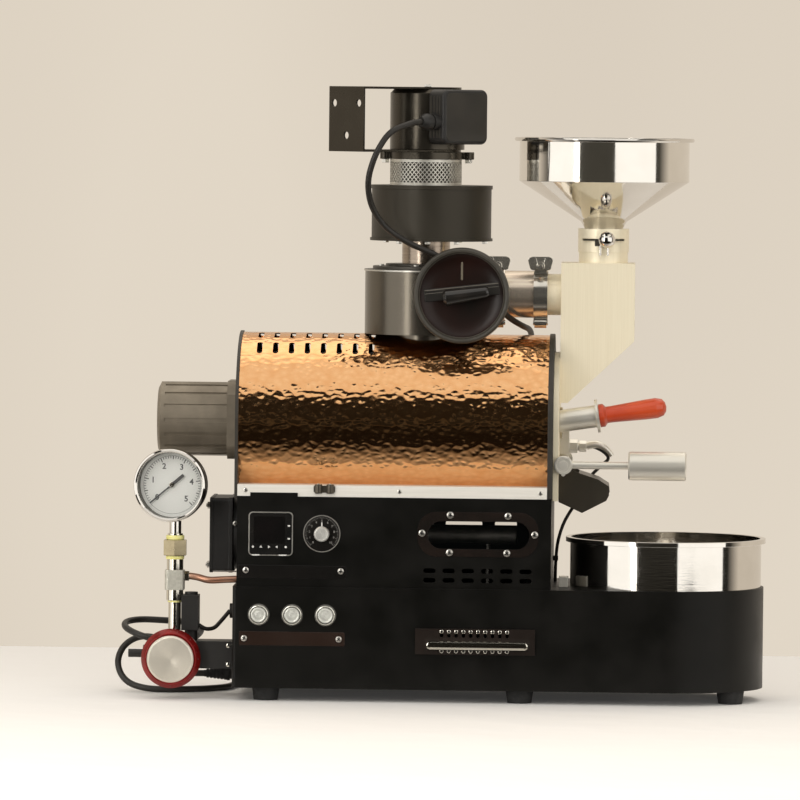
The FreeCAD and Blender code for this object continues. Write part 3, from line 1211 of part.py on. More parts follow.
def build_tray():
    z0, z1 = base_top, base_top + tray_height
    outline = [(tray_air_r - 4, 0), (tray_r, 0), (tray_r, tray_height - 5), (tray_r + 4.7, tray_height - 5),
               (tray_r + 4.7, tray_height), (tray_r - 1.2, tray_height), (tray_r - 1.2, 1.2), (tray_air_r - 4, 1.2)]
    bowl = turned(outline, V(tray_x, drum_y, z0), UP)
    sieve = pipe(tray_r - 1.4, stir_r + 4, V(tray_x, drum_y, sieve_z), UP, 1.2)
    skirt = pipe(tray_r - 1.4, tray_r - 3, V(tray_x, drum_y, z0 + 1.2), UP, sieve_z - z0 - 1.2)
    holes = []
    for ring_r, count in ((30, 10), (50, 16), (70, 22), (88, 28)):
        for k in range(count):
            a = 2 * math.pi * k / count
            holes.append(rod(3.2, V(tray_x + ring_r * math.cos(a), drum_y + ring_r * math.sin(a), sieve_z - 1), UP, 4))
    keep("cooling_tray", bowl, minus(join(sieve, skirt), *holes))

    hub = turned([(stir_r + running_gap, 0.5), (12, 0.5), (12, 22), (stir_r + 2, 30), (0, 30), (0, 26), (stir_r + running_gap, 26)],
                 V(tray_x, drum_y, sieve_z + 1.2), UP)
    arms = []
    for k in range(3):
        arm = block(tray_x, tray_x + tray_r - 8, drum_y - 3, drum_y + 3, sieve_z + 14, sieve_z + 18)
        blade = block(tray_x + 40, tray_x + tray_r - 8, drum_y - 0.8, drum_y + 0.8, sieve_z + 2.5, sieve_z + 15)
        blade.rotate(V(tray_x + 60, drum_y, 0), UP, 20)
        arm = join(arm, blade)
        arm.rotate(V(tray_x, drum_y, 0), UP, 35 + 120 * k)
        arms.append(arm)
    reach = rod(tray_r - 3, V(tray_x, drum_y, sieve_z), UP, 40)
    well = rod(stir_r + running_gap, V(tray_x, drum_y, sieve_z), UP, 27.2)
    keep("tray_stirrer", minus(join(hub, *arms).common(reach), well))

    motor = rod(22, V(tray_x, drum_y, 76), UP, 34)
    shaft = rod(stir_r, V(tray_x, drum_y, 105), UP, sieve_z + 1.2 + 25 - 105)
    bridge = [block(tray_x - 95, tray_x + 94, drum_y - 8, drum_y + 8, 88, 92)]
    bridge += [block(tray_x + s - 1.5, tray_x + s + 1.5, drum_y - 8, drum_y + 8, foot_height + sheet, 92)
               for s in (-93.5, 92.5)]
    fan_pin = rod(3, V(tray_x, drum_y, 40), UP, 40)
    keep("stirrer_motor", join(motor, shaft, *bridge, fan_pin))

    hub = rod(16, V(tray_x, drum_y, 44), UP, 22)
    blades = []
    for k in range(7):
        blade = block(tray_x + 12, tray_x + 72, drum_y - 1, drum_y + 1, 46, 64)
        blade.rotate(V(tray_x, drum_y, 55), RIGHT, 55)
        blade.rotate(V(tray_x, drum_y, 0), UP, 360 / 7 * k)
        blades.append(blade)
    fan = join(hub, *blades).common(rod(72, V(tray_x, drum_y, 30), UP, 50))
    keep("cooling_fan", minus(fan, rod(3 + running_gap, V(tray_x, drum_y, 39), UP, 60)))


# Screws: every pan head on the panels and every bolt on the tower
def build_screws():
    screws = []
    for s in low_screws:
        screws.append(screw(V(s.x, -strip_sheet, s.z), FRONT))
    for s in high_screws:
        screws.append(screw(V(s.x, box_front - strip_sheet, s.z), FRONT))
    for x, z in window_screws:
        screws.append(screw(V(x, box_front - 1.2, z), FRONT, head_r=3.9, shank=6))
    for x in strip_screws:
        screws.append(screw(V(x, box_front + 1.5, strip_z0 + 6.5), FRONT, head_r=2.4, head=1.2, shank_r=1.5, shank=1.5))
    for angle in tower_bolt_angles:
        a = math.radians(angle)
        spot = V(housing_x + 58 * math.cos(a), drum_y + 58 * math.sin(a), blower_z0)
        screws.append(screw(spot, DOWN, head_r=3.4, head=3, shank=4))
    base_z = blower_z1 + guard_height
    for s in (ear_x, -ear_x):
        spot = V(tower_x + s, drum_y, base_z)
        screws.append(screw(spot, DOWN, head_r=4.4, head=4, shank_r=2.5, shank=motor_z0 - base_z))
    screws.append(screw(V(tower_x, drum_y, motor_z1 + arm_sheet), UP, head_r=4.4, head=3, shank_r=2.5, shank=arm_sheet + 11))
    keep("screws", *screws)


# Mains lead: loose loops beside the gas line, then a coil and plug behind the machine
coil_centre = V(96, 276, 0)
coil_mean_r = 38.5
coil_section = 2 * lead_r * 2
coil_near_y = coil_centre.y - coil_mean_r - lead_r
coil_gap = 8                 # half the stretch between the lead's way in and its way out
notch_gap = 0.6
plug_x = 178
plug_y = 244
plug_z = 12
plug_relief = 16
lead_route = [
    (-26, lead_gland_y, lead_gland_z),
    (-46, 100, 21),
    (-70, 106, 22),
    (-92, 124, 28),
    (-100, 150, 38),
    (-84, 172, 50),
    (-58, 172, 60),
    (-46, 150, 66),
    (-56, 128, 66),
    (-82, 124, 68),
    (-108, 122, 74),
    (-122, 104, 77),
    (-118, 82, 74),
    (-98, 68, 67),
    (-74, 66, 58),
    (-52, 78, 50),
    (-46, 102, 46),
    (-60, 124, 46),
    (-84, 132, 50),
    (-107, 131, 56),
    (-128, 126, 50),
    (-134, 119, 30),
    (-120, 110, 13),
    (-97, 103, 5),
    (-70, 99, 3.5),
    (-40, 110, 3.5),
    (-14, 138, 3.5),
    (-8, 172, 3.5),
    (-6, 206, 3.5),
    (10, 232, 3.5),
    (38, 238, 3.5),
]


def build_mains_lead():
    entry_x = coil_centre.x - coil_gap
    exit_x = coil_centre.x + coil_gap
    upper = coil_section - lead_r
    route = lead_route + [(62, coil_near_y + 1, lead_r), (entry_x, coil_near_y, lead_r)]
    tube, length = route_tube(route, lead_r, "mains lead")
    tail_route = [(exit_x, coil_near_y, upper), (exit_x + 20, coil_near_y + 0.4, upper + 0.2),
                  (exit_x + 44, coil_near_y + 4, upper + 1), (plug_x - plug_relief, plug_y, plug_z)]
    tail, tail_length = route_tube(tail_route, lead_r, "lead's tail")
    keep("power_cord", tube, tail)
    half = coil_section / 2 + 0.2
    coil = turned([(coil_mean_r - half, 0), (coil_mean_r + half, 0), (coil_mean_r + half, coil_section),
                   (coil_mean_r - half, coil_section)], coil_centre, UP)
    reach = lead_r + notch_gap
    way_in = block(coil_centre.x - 60, entry_x, coil_near_y - reach, coil_near_y + reach, -1, lead_r + reach)
    way_out = block(exit_x, coil_centre.x + 60, coil_near_y - reach, coil_near_y + reach, upper - reach, coil_section + 1)
    keep("cord_coil", minus(coil, way_in, way_out))
    return length + tail_length


# Plug: two blades and a round earth pin
def build_plug():
    start = V(plug_x, plug_y, plug_z)
    relief = turned([(0, 0), (5.5, 0), (9.5, plug_relief), (0, plug_relief)], start.sub(RIGHT * plug_relief), RIGHT)
    body = Part.makeBox(34, 26, 24, V(plug_x, plug_y - 13, 0))
    body = body.makeFillet(4, [e for e in body.Edges if abs(e.tangentAt(e.FirstParameter).x) > 0.9])
    blades = [block(plug_x + 34, plug_x + 50, plug_y + s - 0.75, plug_y + s + 0.75, plug_z - 6, plug_z + 0.3) for s in (-6.35, 6.35)]
    earth = rod(2.4, V(plug_x + 34, plug_y, plug_z + 7), RIGHT, 19)
    keep("mains_plug", join(body, relief, *blades, earth))


build_base()
build_burner_box()
build_strip()
build_housing()
build_face()
build_drum()
build_side_fan()
build_tower()
build_blower()
build_motor()
bracket_middle = build_bracket()
gland_tip = build_terminal()
build_duct()
build_chute()
build_gate()
build_hopper()
handle_hinge = build_handwheel()
build_trier(build_discharge())
probe_tip = build_probe()
build_leads(gland_tip, probe_tip)
build_gas()
build_buttons(build_panel(build_gauge()))
build_drawer()
nodes["base_shell"] = join(nodes["base_shell"], *drawer_runners())
build_tray()
build_screws()
cord_length = build_mains_lead()
build_plug()

cord_nodes = ("power_cord", "cord_coil", "mains_plug")
body = Part.makeCompound([s for n, s in nodes.items() if n not in cord_nodes]).BoundBox
origin = V((body.XMin + body.XMax) / 2, (body.YMin + body.YMax) / 2, 0)
print("origin", origin, "size", body.XLength, body.YLength, body.ZMax)
for name, shape in nodes.items():
    moved = shape.copy()
    moved.translate(-origin)
    moved.exportStep("parts/" + name + ".step")
print(len(nodes), "nodes")
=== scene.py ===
import bpy
import bmesh
import json
import math
from mathutils import Matrix, Vector

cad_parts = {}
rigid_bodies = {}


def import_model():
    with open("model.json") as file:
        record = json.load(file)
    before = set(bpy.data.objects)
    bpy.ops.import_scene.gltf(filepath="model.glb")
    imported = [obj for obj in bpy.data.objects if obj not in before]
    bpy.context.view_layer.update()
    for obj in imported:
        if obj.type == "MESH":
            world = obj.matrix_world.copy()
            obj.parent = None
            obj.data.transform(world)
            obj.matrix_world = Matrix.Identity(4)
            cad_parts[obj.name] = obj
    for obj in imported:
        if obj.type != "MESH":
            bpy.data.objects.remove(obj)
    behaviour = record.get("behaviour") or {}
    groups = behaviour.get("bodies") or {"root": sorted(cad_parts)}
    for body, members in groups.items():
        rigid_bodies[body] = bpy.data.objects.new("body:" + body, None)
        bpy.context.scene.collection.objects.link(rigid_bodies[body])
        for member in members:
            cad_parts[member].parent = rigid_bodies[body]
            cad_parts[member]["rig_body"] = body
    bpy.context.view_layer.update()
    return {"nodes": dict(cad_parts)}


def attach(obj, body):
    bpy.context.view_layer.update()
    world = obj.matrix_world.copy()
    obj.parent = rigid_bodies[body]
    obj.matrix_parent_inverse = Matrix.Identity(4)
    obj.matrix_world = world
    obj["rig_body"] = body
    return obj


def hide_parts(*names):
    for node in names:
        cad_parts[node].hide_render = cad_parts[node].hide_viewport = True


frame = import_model()
nodes = frame["nodes"]
scene = bpy.context.scene
scene.view_settings.view_transform = "Standard"

# Pieces are drawn in millimetres from the base's front left corner on the table, then brought into the frame.
baseCorner = Vector((-0.22885, -0.103, 0.0))
toFrame = Matrix.Translation(baseCorner) @ Matrix.Scale(0.001, 4)
right, back, up = Vector((1, 0, 0)), Vector((0, 1, 0)), Vector((0, 0, 1))
left, front, down = -right, -back, -up


def inFrame(x, y, z):
    return toFrame @ Vector((x, y, z))


def stand(name, data):
    made = bpy.data.objects.new(name, data)
    scene.collection.objects.link(made)
    return made


def towards(azimuth, elevation):
    turn, rise = math.radians(azimuth), math.radians(elevation)
    return Vector((math.sin(turn) * math.cos(rise), -math.cos(turn) * math.cos(rise), math.sin(rise)))


cameraSetup = {"distance": 8.0, "target": (177.7, 0, 325), "azimuth": 2.1, "elevation": 2.33, "roll": 0.6, "lens": 336.4,
               "sensor": 36, "clip": (0.1, 60)}


def makeCamera(setup):
    away = towards(setup["azimuth"], setup["elevation"])
    lens = bpy.data.cameras.new("camera")
    lens.sensor_width = setup["sensor"]
    lens.lens = setup["lens"]
    lens.clip_start, lens.clip_end = setup["clip"]
    camera = stand("camera", lens)
    camera.rotation_mode = "QUATERNION"
    camera.location = inFrame(*setup["target"]) + away * setup["distance"]
    tilt = Matrix.Rotation(math.radians(setup["roll"]), 3, "Z").to_quaternion()
    camera.rotation_quaternion = (-away).to_track_quat("-Z", "Y") @ tilt
    scene.camera = camera


# Softboxes: where the object sees their middle, how far off, how wide and high, and how bright
softboxes = {
    "leftBox": {"azimuth": -56, "elevation": 10, "distance": 2.6, "size": (2.3, 2.5), "radiance": 1.25},
    "rightBox": {"azimuth": 46, "elevation": 10, "distance": 2.6, "size": (2.8, 2.5), "radiance": 1.25},
    "leftStrip": {"azimuth": -33, "elevation": 12, "distance": 2.3, "size": (0.26, 2.3), "radiance": 6.0},
    "frontFill": {"azimuth": 0, "elevation": 12, "distance": 3.0, "size": (2.4, 2.2), "radiance": 1.9, "soft": True},
    "topBox": {"azimuth": 0, "elevation": 84, "distance": 2.4, "size": (3.6, 5.4), "radiance": 0.92},
}
lamps = {"middle": (0, 0, 0.33), "colour": (1.0, 0.965, 0.91)}


def makeLights():
    for name, box in softboxes.items():
        way = towards(box["azimuth"], box["elevation"])
        light = bpy.data.lights.new(name, "AREA")
        light.shape = "RECTANGLE"
        light.size, light.size_y = box["size"]
        light.energy = box["radiance"] * math.pi * box["size"][0] * box["size"][1]
        light.color = lamps["colour"]
        lamp = stand(name, light)
        lamp.location = Vector(lamps["middle"]) + way * box["distance"]
        lamp.rotation_mode = "QUATERNION"
        lamp.rotation_quaternion = (-way).to_track_quat("-Z", "Y")
        lamp.visible_camera = False
        lamp.visible_glossy = not box.get("soft", False)    # the fill lights matt surfaces and shows in no metal


def setUp(tree, node, given):
    for name, what in given.items():        # a socket that is given is linked, and anything else is a constant
        if isinstance(what, bpy.types.NodeSocket):
            tree.links.new(what, node.inputs[name])
        else:
            node.inputs[name].default_value = what
    return node


def grow(tree, kind, given):
    return setUp(tree, tree.nodes.new("ShaderNode" + kind), given)


def blend(tree, kind, factor, a, b):
    mix = tree.nodes.new("ShaderNodeMix")
    mix.data_type, mix.blend_type = "RGBA", kind
    return setUp(tree, mix, {"Factor": factor, "A": a, "B": b}).outputs["Result"]


def ramp(tree, source, *stops):
    made = tree.nodes.new("ShaderNodeValToRGB")
    while len(made.color_ramp.elements) < len(stops):
        made.color_ramp.elements.new(0.5)
    for element, (place, colour) in zip(made.color_ramp.elements, stops):
        element.position = place
        element.color = (*colour, 1)
    tree.links.new(source, made.inputs[0])
    return made.outputs[0]


def newLook(name, given):
    material = bpy.data.materials.new(name)
    material.use_nodes = True
    tree = material.node_tree
    return material, tree, setUp(tree, tree.nodes["Principled BSDF"], given)


studio = {"front": (0.011, 0.010, 0.008), "band": (0.055, 0.05, 0.04), "wall": (0.66, 0.58, 0.48),
          "wallLow": (0.585, 0.51, 0.42), "wallHigh": (0.755, 0.675, 0.565)}


def makeStudio():
    world = bpy.data.worlds.new("studio")
    scene.world = world
    world.use_nodes = True
    tree = world.node_tree
    way = grow(tree, "TexCoord", {}).outputs["Generated"]
    parts = grow(tree, "SeparateXYZ", {0: way}).outputs
    depth = grow(tree, "MapRange", {"From Min": -1, "Value": parts["Y"]})
    room = ramp(tree, depth.outputs["Result"], (0.42, studio["front"]), (0.58, studio["wall"]))   # dark in front
    level = grow(tree, "MapRange", {"From Min": -1, "Value": parts["Z"]})
    band = ramp(tree, level.outputs["Result"], (0.465, (0, 0, 0)), (0.485, studio["band"]), (0.505, studio["band"]),
                (0.52, (0, 0, 0)))
    lit = blend(tree, "ADD", 1, room, band)                               # a dim strip of room at eye height
    folds = grow(tree, "Mapping", {"Scale": (1, 1, 0.35), "Vector": way})
    noise = grow(tree, "TexNoise", {"Scale": 7, "Detail": 1.5, "Vector": folds.outputs[0]})
    shade = grow(tree, "MapRange", {"From Min": -0.15, "From Max": 0, "To Min": -0.14, "To Max": 0.05,
                                    "Value": parts["X"]})                 # the wall's left end is in shade
    tone = grow(tree, "Math", {0: noise.outputs["Fac"], 1: shade.outputs["Result"]})
    wall = ramp(tree, tone.outputs[0], (0.34, studio["wallLow"]), (0.62, studio["wallHigh"]))
    seen = grow(tree, "LightPath", {}).outputs["Is Camera Ray"]
    setUp(tree, tree.nodes["Background"], {"Color": blend(tree, "MIX", seen, lit, wall)})


table = {"left": -484, "right": 1500, "front": -1600, "back": 750, "below": -0.2, "colour": (0.92, 0.905, 0.885),
         "gloss": (-0.56, -0.13), "glow": 0.03}


def makeTable():
    bm = bmesh.new()
    bmesh.ops.create_grid(bm, x_segments=2, y_segments=2, size=0.5)
    wide, deep = table["right"] - table["left"], table["back"] - table["front"]
    middle = Vector((table["left"] + wide / 2, table["front"] + deep / 2, table["below"]))
    bmesh.ops.scale(bm, vec=(wide, deep, 1), verts=bm.verts)
    bmesh.ops.translate(bm, vec=middle, verts=bm.verts)
    bm.transform(toFrame)
    mesh = bpy.data.meshes.new("table")
    bm.to_mesh(mesh)
    bm.free()
    top = stand("table", mesh)
    colour = (*table["colour"], 1)
    cloth, tree, shader = newLook("tableCloth", {"Roughness": 0.85, "Specular IOR Level": 0.0, "Emission Color": colour})
    spot = grow(tree, "TexCoord", {}).outputs["Object"]
    seen = grow(tree, "LightPath", {}).outputs["Is Camera Ray"]
    noise = grow(tree, "TexNoise", {"Scale": 7, "Vector": spot})
    bump = grow(tree, "Bump", {"Strength": 0.25, "Distance": 0.02, "Height": noise.outputs["Fac"]})
    glow = grow(tree, "Math", {0: seen, 1: table["glow"]})
    glow.operation = "MULTIPLY"
    parts = grow(tree, "SeparateXYZ", {0: spot}).outputs
    low, high = table["gloss"]               # painted shade seen in the object's gloss and in bounce light: the cloth darkens towards the table's front edge
    reach = grow(tree, "MapRange", {"From Min": low, "From Max": high, "Value": parts["Y"]})
    edge = ramp(tree, reach.outputs["Result"], (0.0, (0.006, 0.005, 0.004)), (0.35, (0.13, 0.125, 0.12)),
                (0.68, (0.42, 0.41, 0.40)), (1.0, table["colour"]))
    setUp(tree, shader, {"Base Color": blend(tree, "MIX", seen, edge, colour), "Normal": bump.outputs[0],
                         "Emission Strength": glow.outputs[0]})
    mesh.materials.append(cloth)


makeCamera(cameraSetup)
makeLights()
makeStudio()
makeTable()
print("camera, lights and table are in place")


def finish(name, colour, rough, metal=0.0, colourB=None, roughB=None, scale=60, stretch=(1, 1, 1), bump=0.0,
           bumpScale=None, bumpStretch=None, coat=0.0, specular=0.5):
    material, tree, shader = newLook(name, {"Metallic": metal, "Coat Weight": coat, "Coat Roughness": 0.08,
                                            "Specular IOR Level": specular})
    spot = grow(tree, "TexCoord", {}).outputs["Object"]

    def grain(size, ways):
        turn = grow(tree, "Mapping", {"Scale": ways, "Vector": spot})
        return grow(tree, "TexNoise", {"Scale": size, "Detail": 3, "Vector": turn.outputs[0]}).outputs["Fac"]

    wear = grain(scale, stretch)
    tint = ramp(tree, wear, (0.34, colour), (0.66, colourB or [c * 0.8 for c in colour]))
    worn = grow(tree, "MapRange", {"From Min": 0.3, "From Max": 0.7, "To Min": rough, "To Max": roughB or rough * 1.25,
                                   "Value": wear})
    setUp(tree, shader, {"Base Color": tint, "Roughness": worn.outputs["Result"]})
    if bump:
        relief = grain(bumpScale or scale, bumpStretch or stretch)
        lift = grow(tree, "Bump", {"Strength": 1, "Distance": bump, "Height": relief})
        setUp(tree, shader, {"Normal": lift.outputs[0]})
    return material


# name: colour, roughness, then what differs
finishes = {
    "satinBlack": ((0.0030, 0.0029, 0.0022), 0.32, dict(specular=0.25, colourB=(0.0046, 0.0042, 0.0033), roughB=0.44,
        scale=26, bump=0.00003, bumpScale=1400)),
    "towerBlack": ((0.060, 0.052, 0.040), 0.24, dict(metal=0.8, colourB=(0.070, 0.061, 0.047), roughB=0.29, scale=20,
        bump=0.00002, bumpScale=900)),
    "canisterBlack": ((0.125, 0.112, 0.090), 0.22, dict(metal=0.85, colourB=(0.138, 0.122, 0.098), roughB=0.26, scale=20,
        bump=0.00002, bumpScale=900)),
    "blowerBlack": ((0.038, 0.033, 0.024), 0.40, dict(metal=0.45, specular=0.35, colourB=(0.044, 0.038, 0.028), scale=22,
        bump=0.00004, bumpScale=1100)),
    "rubber": ((0.02, 0.02, 0.02), 0.7, dict(scale=200, bump=0.0001, bumpScale=700)),
    "castDark": ((0.05, 0.045, 0.038), 0.42, dict(metal=0.3, scale=120, bump=0.00008, bumpScale=500)),
    "polished": ((0.80, 0.775, 0.735), 0.055, dict(metal=1, colourB=(0.76, 0.735, 0.69), roughB=0.10, scale=30,
        bump=0.00002, bumpScale=60, bumpStretch=(1, 1, 8))),
    "brushedUp": ((1.0, 0.91, 0.70), 0.36, dict(metal=0.3, colourB=(0.94, 0.85, 0.64), roughB=0.46, scale=12,
        stretch=(90, 90, 1.2), bump=0.00002, bumpScale=12, bumpStretch=(120, 120, 1.2))),
    "brushedAlong": ((0.78, 0.745, 0.68), 0.22, dict(metal=1, colourB=(0.68, 0.65, 0.58), roughB=0.32, scale=9,
        stretch=(1.6, 60, 60), bump=0.00003, bumpScale=9, bumpStretch=(2, 90, 90))),
    "brushedRound": ((0.80, 0.77, 0.70), 0.16, dict(metal=1, colourB=(0.72, 0.69, 0.62), roughB=0.26, scale=14,
        stretch=(2, 2, 60), bump=0.00002, bumpScale=14, bumpStretch=(2, 2, 80))),
    "riserSteel": ((0.40, 0.335, 0.27), 0.20, dict(metal=1, colourB=(0.30, 0.245, 0.20), scale=12, stretch=(1, 1, 30),
        bump=0.00002, bumpScale=12, bumpStretch=(1, 1, 40))),
    "ductSteel": ((0.86, 0.76, 0.62), 0.24, dict(metal=0.8, colourB=(0.62, 0.52, 0.43), roughB=0.25, scale=8,
        stretch=(1.2, 18, 18))),
    "darkSteel": ((0.10, 0.085, 0.065), 0.38, dict(metal=0.8, colourB=(0.06, 0.05, 0.04), scale=80, bump=0.00004,
        bumpScale=300)),
    "bronzeGrey": ((0.24, 0.205, 0.155), 0.40, dict(metal=0.45, colourB=(0.19, 0.16, 0.12), scale=50, bump=0.00004,
        bumpScale=900)),
    "blackPlastic": ((0.014, 0.013, 0.012), 0.42, dict(scale=90, bump=0.00004, bumpScale=800)),
    "glossBlack": ((0.010, 0.008, 0.007), 0.12, dict(colourB=(0.016, 0.011, 0.009), scale=40, coat=0.3)),
    "drawerBlack": ((0.0105, 0.0068, 0.005), 0.30, dict(colourB=(0.015, 0.009, 0.0065), scale=22, coat=0.1)),
    "plateDark": ((0.0055, 0.005, 0.0045), 0.24, dict(colourB=(0.008, 0.0065, 0.0055), scale=18, coat=0.15)),
    "stripBlack": ((0.020, 0.0105, 0.007), 0.22, dict(colourB=(0.026, 0.015, 0.011), scale=18, coat=0.2)),
    "gripBlack": ((0.012, 0.011, 0.010), 0.20, dict(colourB=(0.018, 0.015, 0.013), scale=50, coat=0.4)),
    "wheelDish": ((0.0065, 0.0045, 0.0034), 0.30, dict(specular=0.32, colourB=(0.018, 0.0055, 0.0035), scale=14,
        bump=0.00003, bumpScale=500)),
    "wheelRim": ((0.040, 0.036, 0.028), 0.40, dict(colourB=(0.052, 0.046, 0.036), scale=40, bump=0.00005, bumpScale=900)),
    "solenoidBlack": ((0.022, 0.019, 0.016), 0.5, dict(scale=60, bump=0.00006, bumpScale=700)),
    "copperPipe": ((0.42, 0.20, 0.125), 0.26, dict(metal=0.9, colourB=(0.52, 0.33, 0.24), roughB=0.36, scale=26)),
    "knurledBlock": ((0.66, 0.645, 0.57), 0.40, dict(metal=0.6, colourB=(0.54, 0.53, 0.46), scale=300, bump=0.00012,
        bumpScale=1100)),
    "hexBrass": ((0.50, 0.43, 0.28), 0.24, dict(metal=1, colourB=(0.36, 0.30, 0.19), scale=45, bump=0.00003,
        bumpScale=260)),
    "nickelPlate": ((0.80, 0.77, 0.69), 0.09, dict(metal=1, colourB=(0.74, 0.71, 0.62), scale=60)),
    "zincPlate": ((0.76, 0.74, 0.69), 0.26, dict(metal=1, colourB=(0.62, 0.60, 0.55), scale=160, bump=0.00003,
        bumpScale=900)),
    "sealTape": ((0.86, 0.80, 0.22), 0.45, dict(colourB=(0.92, 0.88, 0.45), scale=300, stretch=(1, 1, 3), bump=0.0002,
        bumpScale=260, bumpStretch=(1, 1, 4))),
    "turned": ((0.86, 0.83, 0.76), 0.2, dict(metal=1, scale=60)),
    "redPlastic": ((0.60, 0.075, 0.02), 0.28, dict(colourB=(0.50, 0.05, 0.014), scale=30, bump=0.00005, bumpScale=150,
        coat=0.25)),
    "redAnodised": ((0.30, 0.011, 0.010), 0.20, dict(metal=0.6, colourB=(0.19, 0.007, 0.006), scale=60, coat=0.3)),
    "cable": ((0.019, 0.0165, 0.0135), 0.42, dict(scale=200, bump=0.00004, bumpScale=900)),
    "innerSteel": ((0.35, 0.33, 0.30), 0.45, dict(metal=1, scale=80)),
    "gaugeWhite": ((0.93, 0.94, 0.90), 0.5, dict(colourB=(0.91, 0.92, 0.88), scale=30)),
    "inkGrey": ((0.12, 0.12, 0.12), 0.6, dict(scale=200)),
    # black standing in for the shade in screw slots, holes and recesses
    "recessShadeBlack": ((0.020, 0.019, 0.018), 0.45, dict(scale=200)),
    "printWhite": ((0.78, 0.77, 0.74), 0.5, dict(scale=200)),
    "screenBlack": ((0.004, 0.004, 0.004), 0.10, dict(colourB=(0.006, 0.005, 0.005), scale=40, coat=0.5)),
    "rimSteel": ((0.62, 0.60, 0.55), 0.30, dict(metal=0.8, scale=80)),
    # pale grey standing in for highlights on the handwheel's rim and bar
    "paintedHighlightGrey": ((0.22, 0.20, 0.17), 0.35, dict(metal=0.4, scale=60)),
    "tickPale": ((0.15, 0.125, 0.085), 0.40, dict(scale=90)),
    "printDim": ((0.34, 0.33, 0.31), 0.5, dict(scale=200)),
    "controllerFace": ((0.006, 0.006, 0.006), 0.22, dict(colourB=(0.010, 0.009, 0.008), scale=40, coat=0.2)),
    "boxBlack": ((0.020, 0.018, 0.014), 0.34, dict(colourB=(0.028, 0.024, 0.018), scale=30, bump=0.00003, bumpScale=700)),
    "buttonSteel": ((0.82, 0.81, 0.74), 0.22, dict(metal=0.85, colourB=(0.74, 0.72, 0.65), scale=70)),
    "lidDark": ((0.055, 0.050, 0.042), 0.34, dict(metal=0.6, colourB=(0.075, 0.068, 0.058), scale=40)),
    "satinStrip": ((0.93, 0.90, 0.83), 0.34, dict(metal=0.25, colourB=(0.86, 0.83, 0.76), scale=14, stretch=(1.5, 30,
        30), bump=0.00002, bumpScale=14, bumpStretch=(1.5, 60, 60))),
    "clampSteel": ((0.84, 0.80, 0.72), 0.15, dict(metal=0.92, colourB=(0.74, 0.71, 0.64), scale=45, bump=0.00003,
        bumpScale=200)),
    "meshSteel": ((0.74, 0.72, 0.65), 0.34, dict(metal=0.7, colourB=(0.60, 0.58, 0.52), scale=90)),
    "barBlack": ((0.017, 0.016, 0.014), 0.28, dict(colourB=(0.024, 0.021, 0.018), scale=50, bump=0.00003, bumpScale=600)),
    "caseDark": ((0.16, 0.145, 0.12), 0.30, dict(metal=0.85, colourB=(0.11, 0.10, 0.083), scale=20, stretch=(3, 3, 3))),
    "satinSteel": ((0.84, 0.81, 0.735), 0.30, dict(metal=0.72, colourB=(0.79, 0.76, 0.68), roughB=0.36, scale=12,
        stretch=(1.5, 14, 14), bump=0.00001, bumpScale=400)),
    "spoutDark": ((0.115, 0.10, 0.078), 0.30, dict(metal=0.75, colourB=(0.085, 0.074, 0.058), scale=10, bump=0.00003,
        bumpScale=500)),
}
look = {}
for finishName, (colour, rough, more) in finishes.items():
    look[finishName] = finish(finishName, colour, rough, **more)


def hammeredCopper():
    material, tree, shader = newLook("hammeredCopper", {"Metallic": 1, "Roughness": 0.13})
    spot = grow(tree, "TexCoord", {}).outputs["Object"]
    warp = grow(tree, "TexNoise", {"Scale": 70, "Detail": 1, "Vector": spot})
    bend = tree.nodes.new("ShaderNodeVectorMath")
    bend.operation = "MULTIPLY_ADD"
    setUp(tree, bend, {0: warp.outputs["Color"], 1: (0.007, 0.007, 0.007), 2: spot})
    shape = grow(tree, "Mapping", {"Scale": (0.62, 0.9, 0.9), "Vector": bend.outputs[0]})    # dents lie along the drum
    dents = tree.nodes.new("ShaderNodeTexVoronoi")
    dents.feature = "SMOOTH_F1"
    depth = setUp(tree, dents, {"Scale": 215, "Smoothness": 0.7, "Vector": shape.outputs[0]}).outputs["Distance"]
    lift = grow(tree, "Bump", {"Strength": 0.8, "Distance": 0.0009, "Height": depth})
    tint = ramp(tree, depth, (0.1, (0.96, 0.56, 0.275)), (0.8, (0.88, 0.46, 0.20)))
    setUp(tree, shader, {"Base Color": tint, "Normal": lift.outputs[0]})
    return material


# turned rings in the bump and colour, with a painted sheen in sectors round the axis
def turnedFace(name, centre, colour, pitch, rough, metal):
    material, tree, shader = newLook(name, {"Metallic": metal})
    spot = grow(tree, "TexCoord", {}).outputs["Object"]
    middle = grow(tree, "Mapping", {"Location": -inFrame(*centre), "Vector": spot}).outputs[0]
    wave = grow(tree, "TexWave", {"Scale": 0.314 / pitch, "Distortion": 0.4, "Vector": middle})
    wave.wave_type, wave.rings_direction = "RINGS", "Y"
    rings = wave.outputs["Fac"]
    lift = grow(tree, "Bump", {"Strength": 0.6, "Distance": 0.00006, "Height": rings})
    tint = ramp(tree, rings, (0.1, colour), (0.9, [c * 0.84 for c in colour]))
    worn = grow(tree, "MapRange", {"To Min": rough, "To Max": rough * 1.5, "Value": rings})
    turn = grow(tree, "Mapping", {"Rotation": (math.pi / 2, 0, 0), "Vector": middle})
    fan = grow(tree, "TexGradient", {0: turn.outputs[0]})
    fan.gradient_type = "RADIAL"                  # painted sheen: the colour is lighter and darker in sectors round the axis
    shine = ((0.0, 0.78), (0.16, 1), (0.34, 0.80), (0.6, 1), (0.82, 0.72), (1.0, 0.78))
    sheen = ramp(tree, fan.outputs["Fac"], *[(place, (grey,) * 3) for place, grey in shine])
    setUp(tree, shader, {"Base Color": blend(tree, "MULTIPLY", 0.7, tint, sheen), "Roughness": worn.outputs["Result"],
                         "Normal": lift.outputs[0]})
    return material


look["hammeredCopper"] = hammeredCopper()
look["clearGlass"] = newLook("clearGlass", {"Base Color": (0.01, 0.012, 0.012, 1), "Roughness": 0.03, "IOR": 1.45,
                                            "Alpha": 0.07})[0]
print("the finishes are mixed")


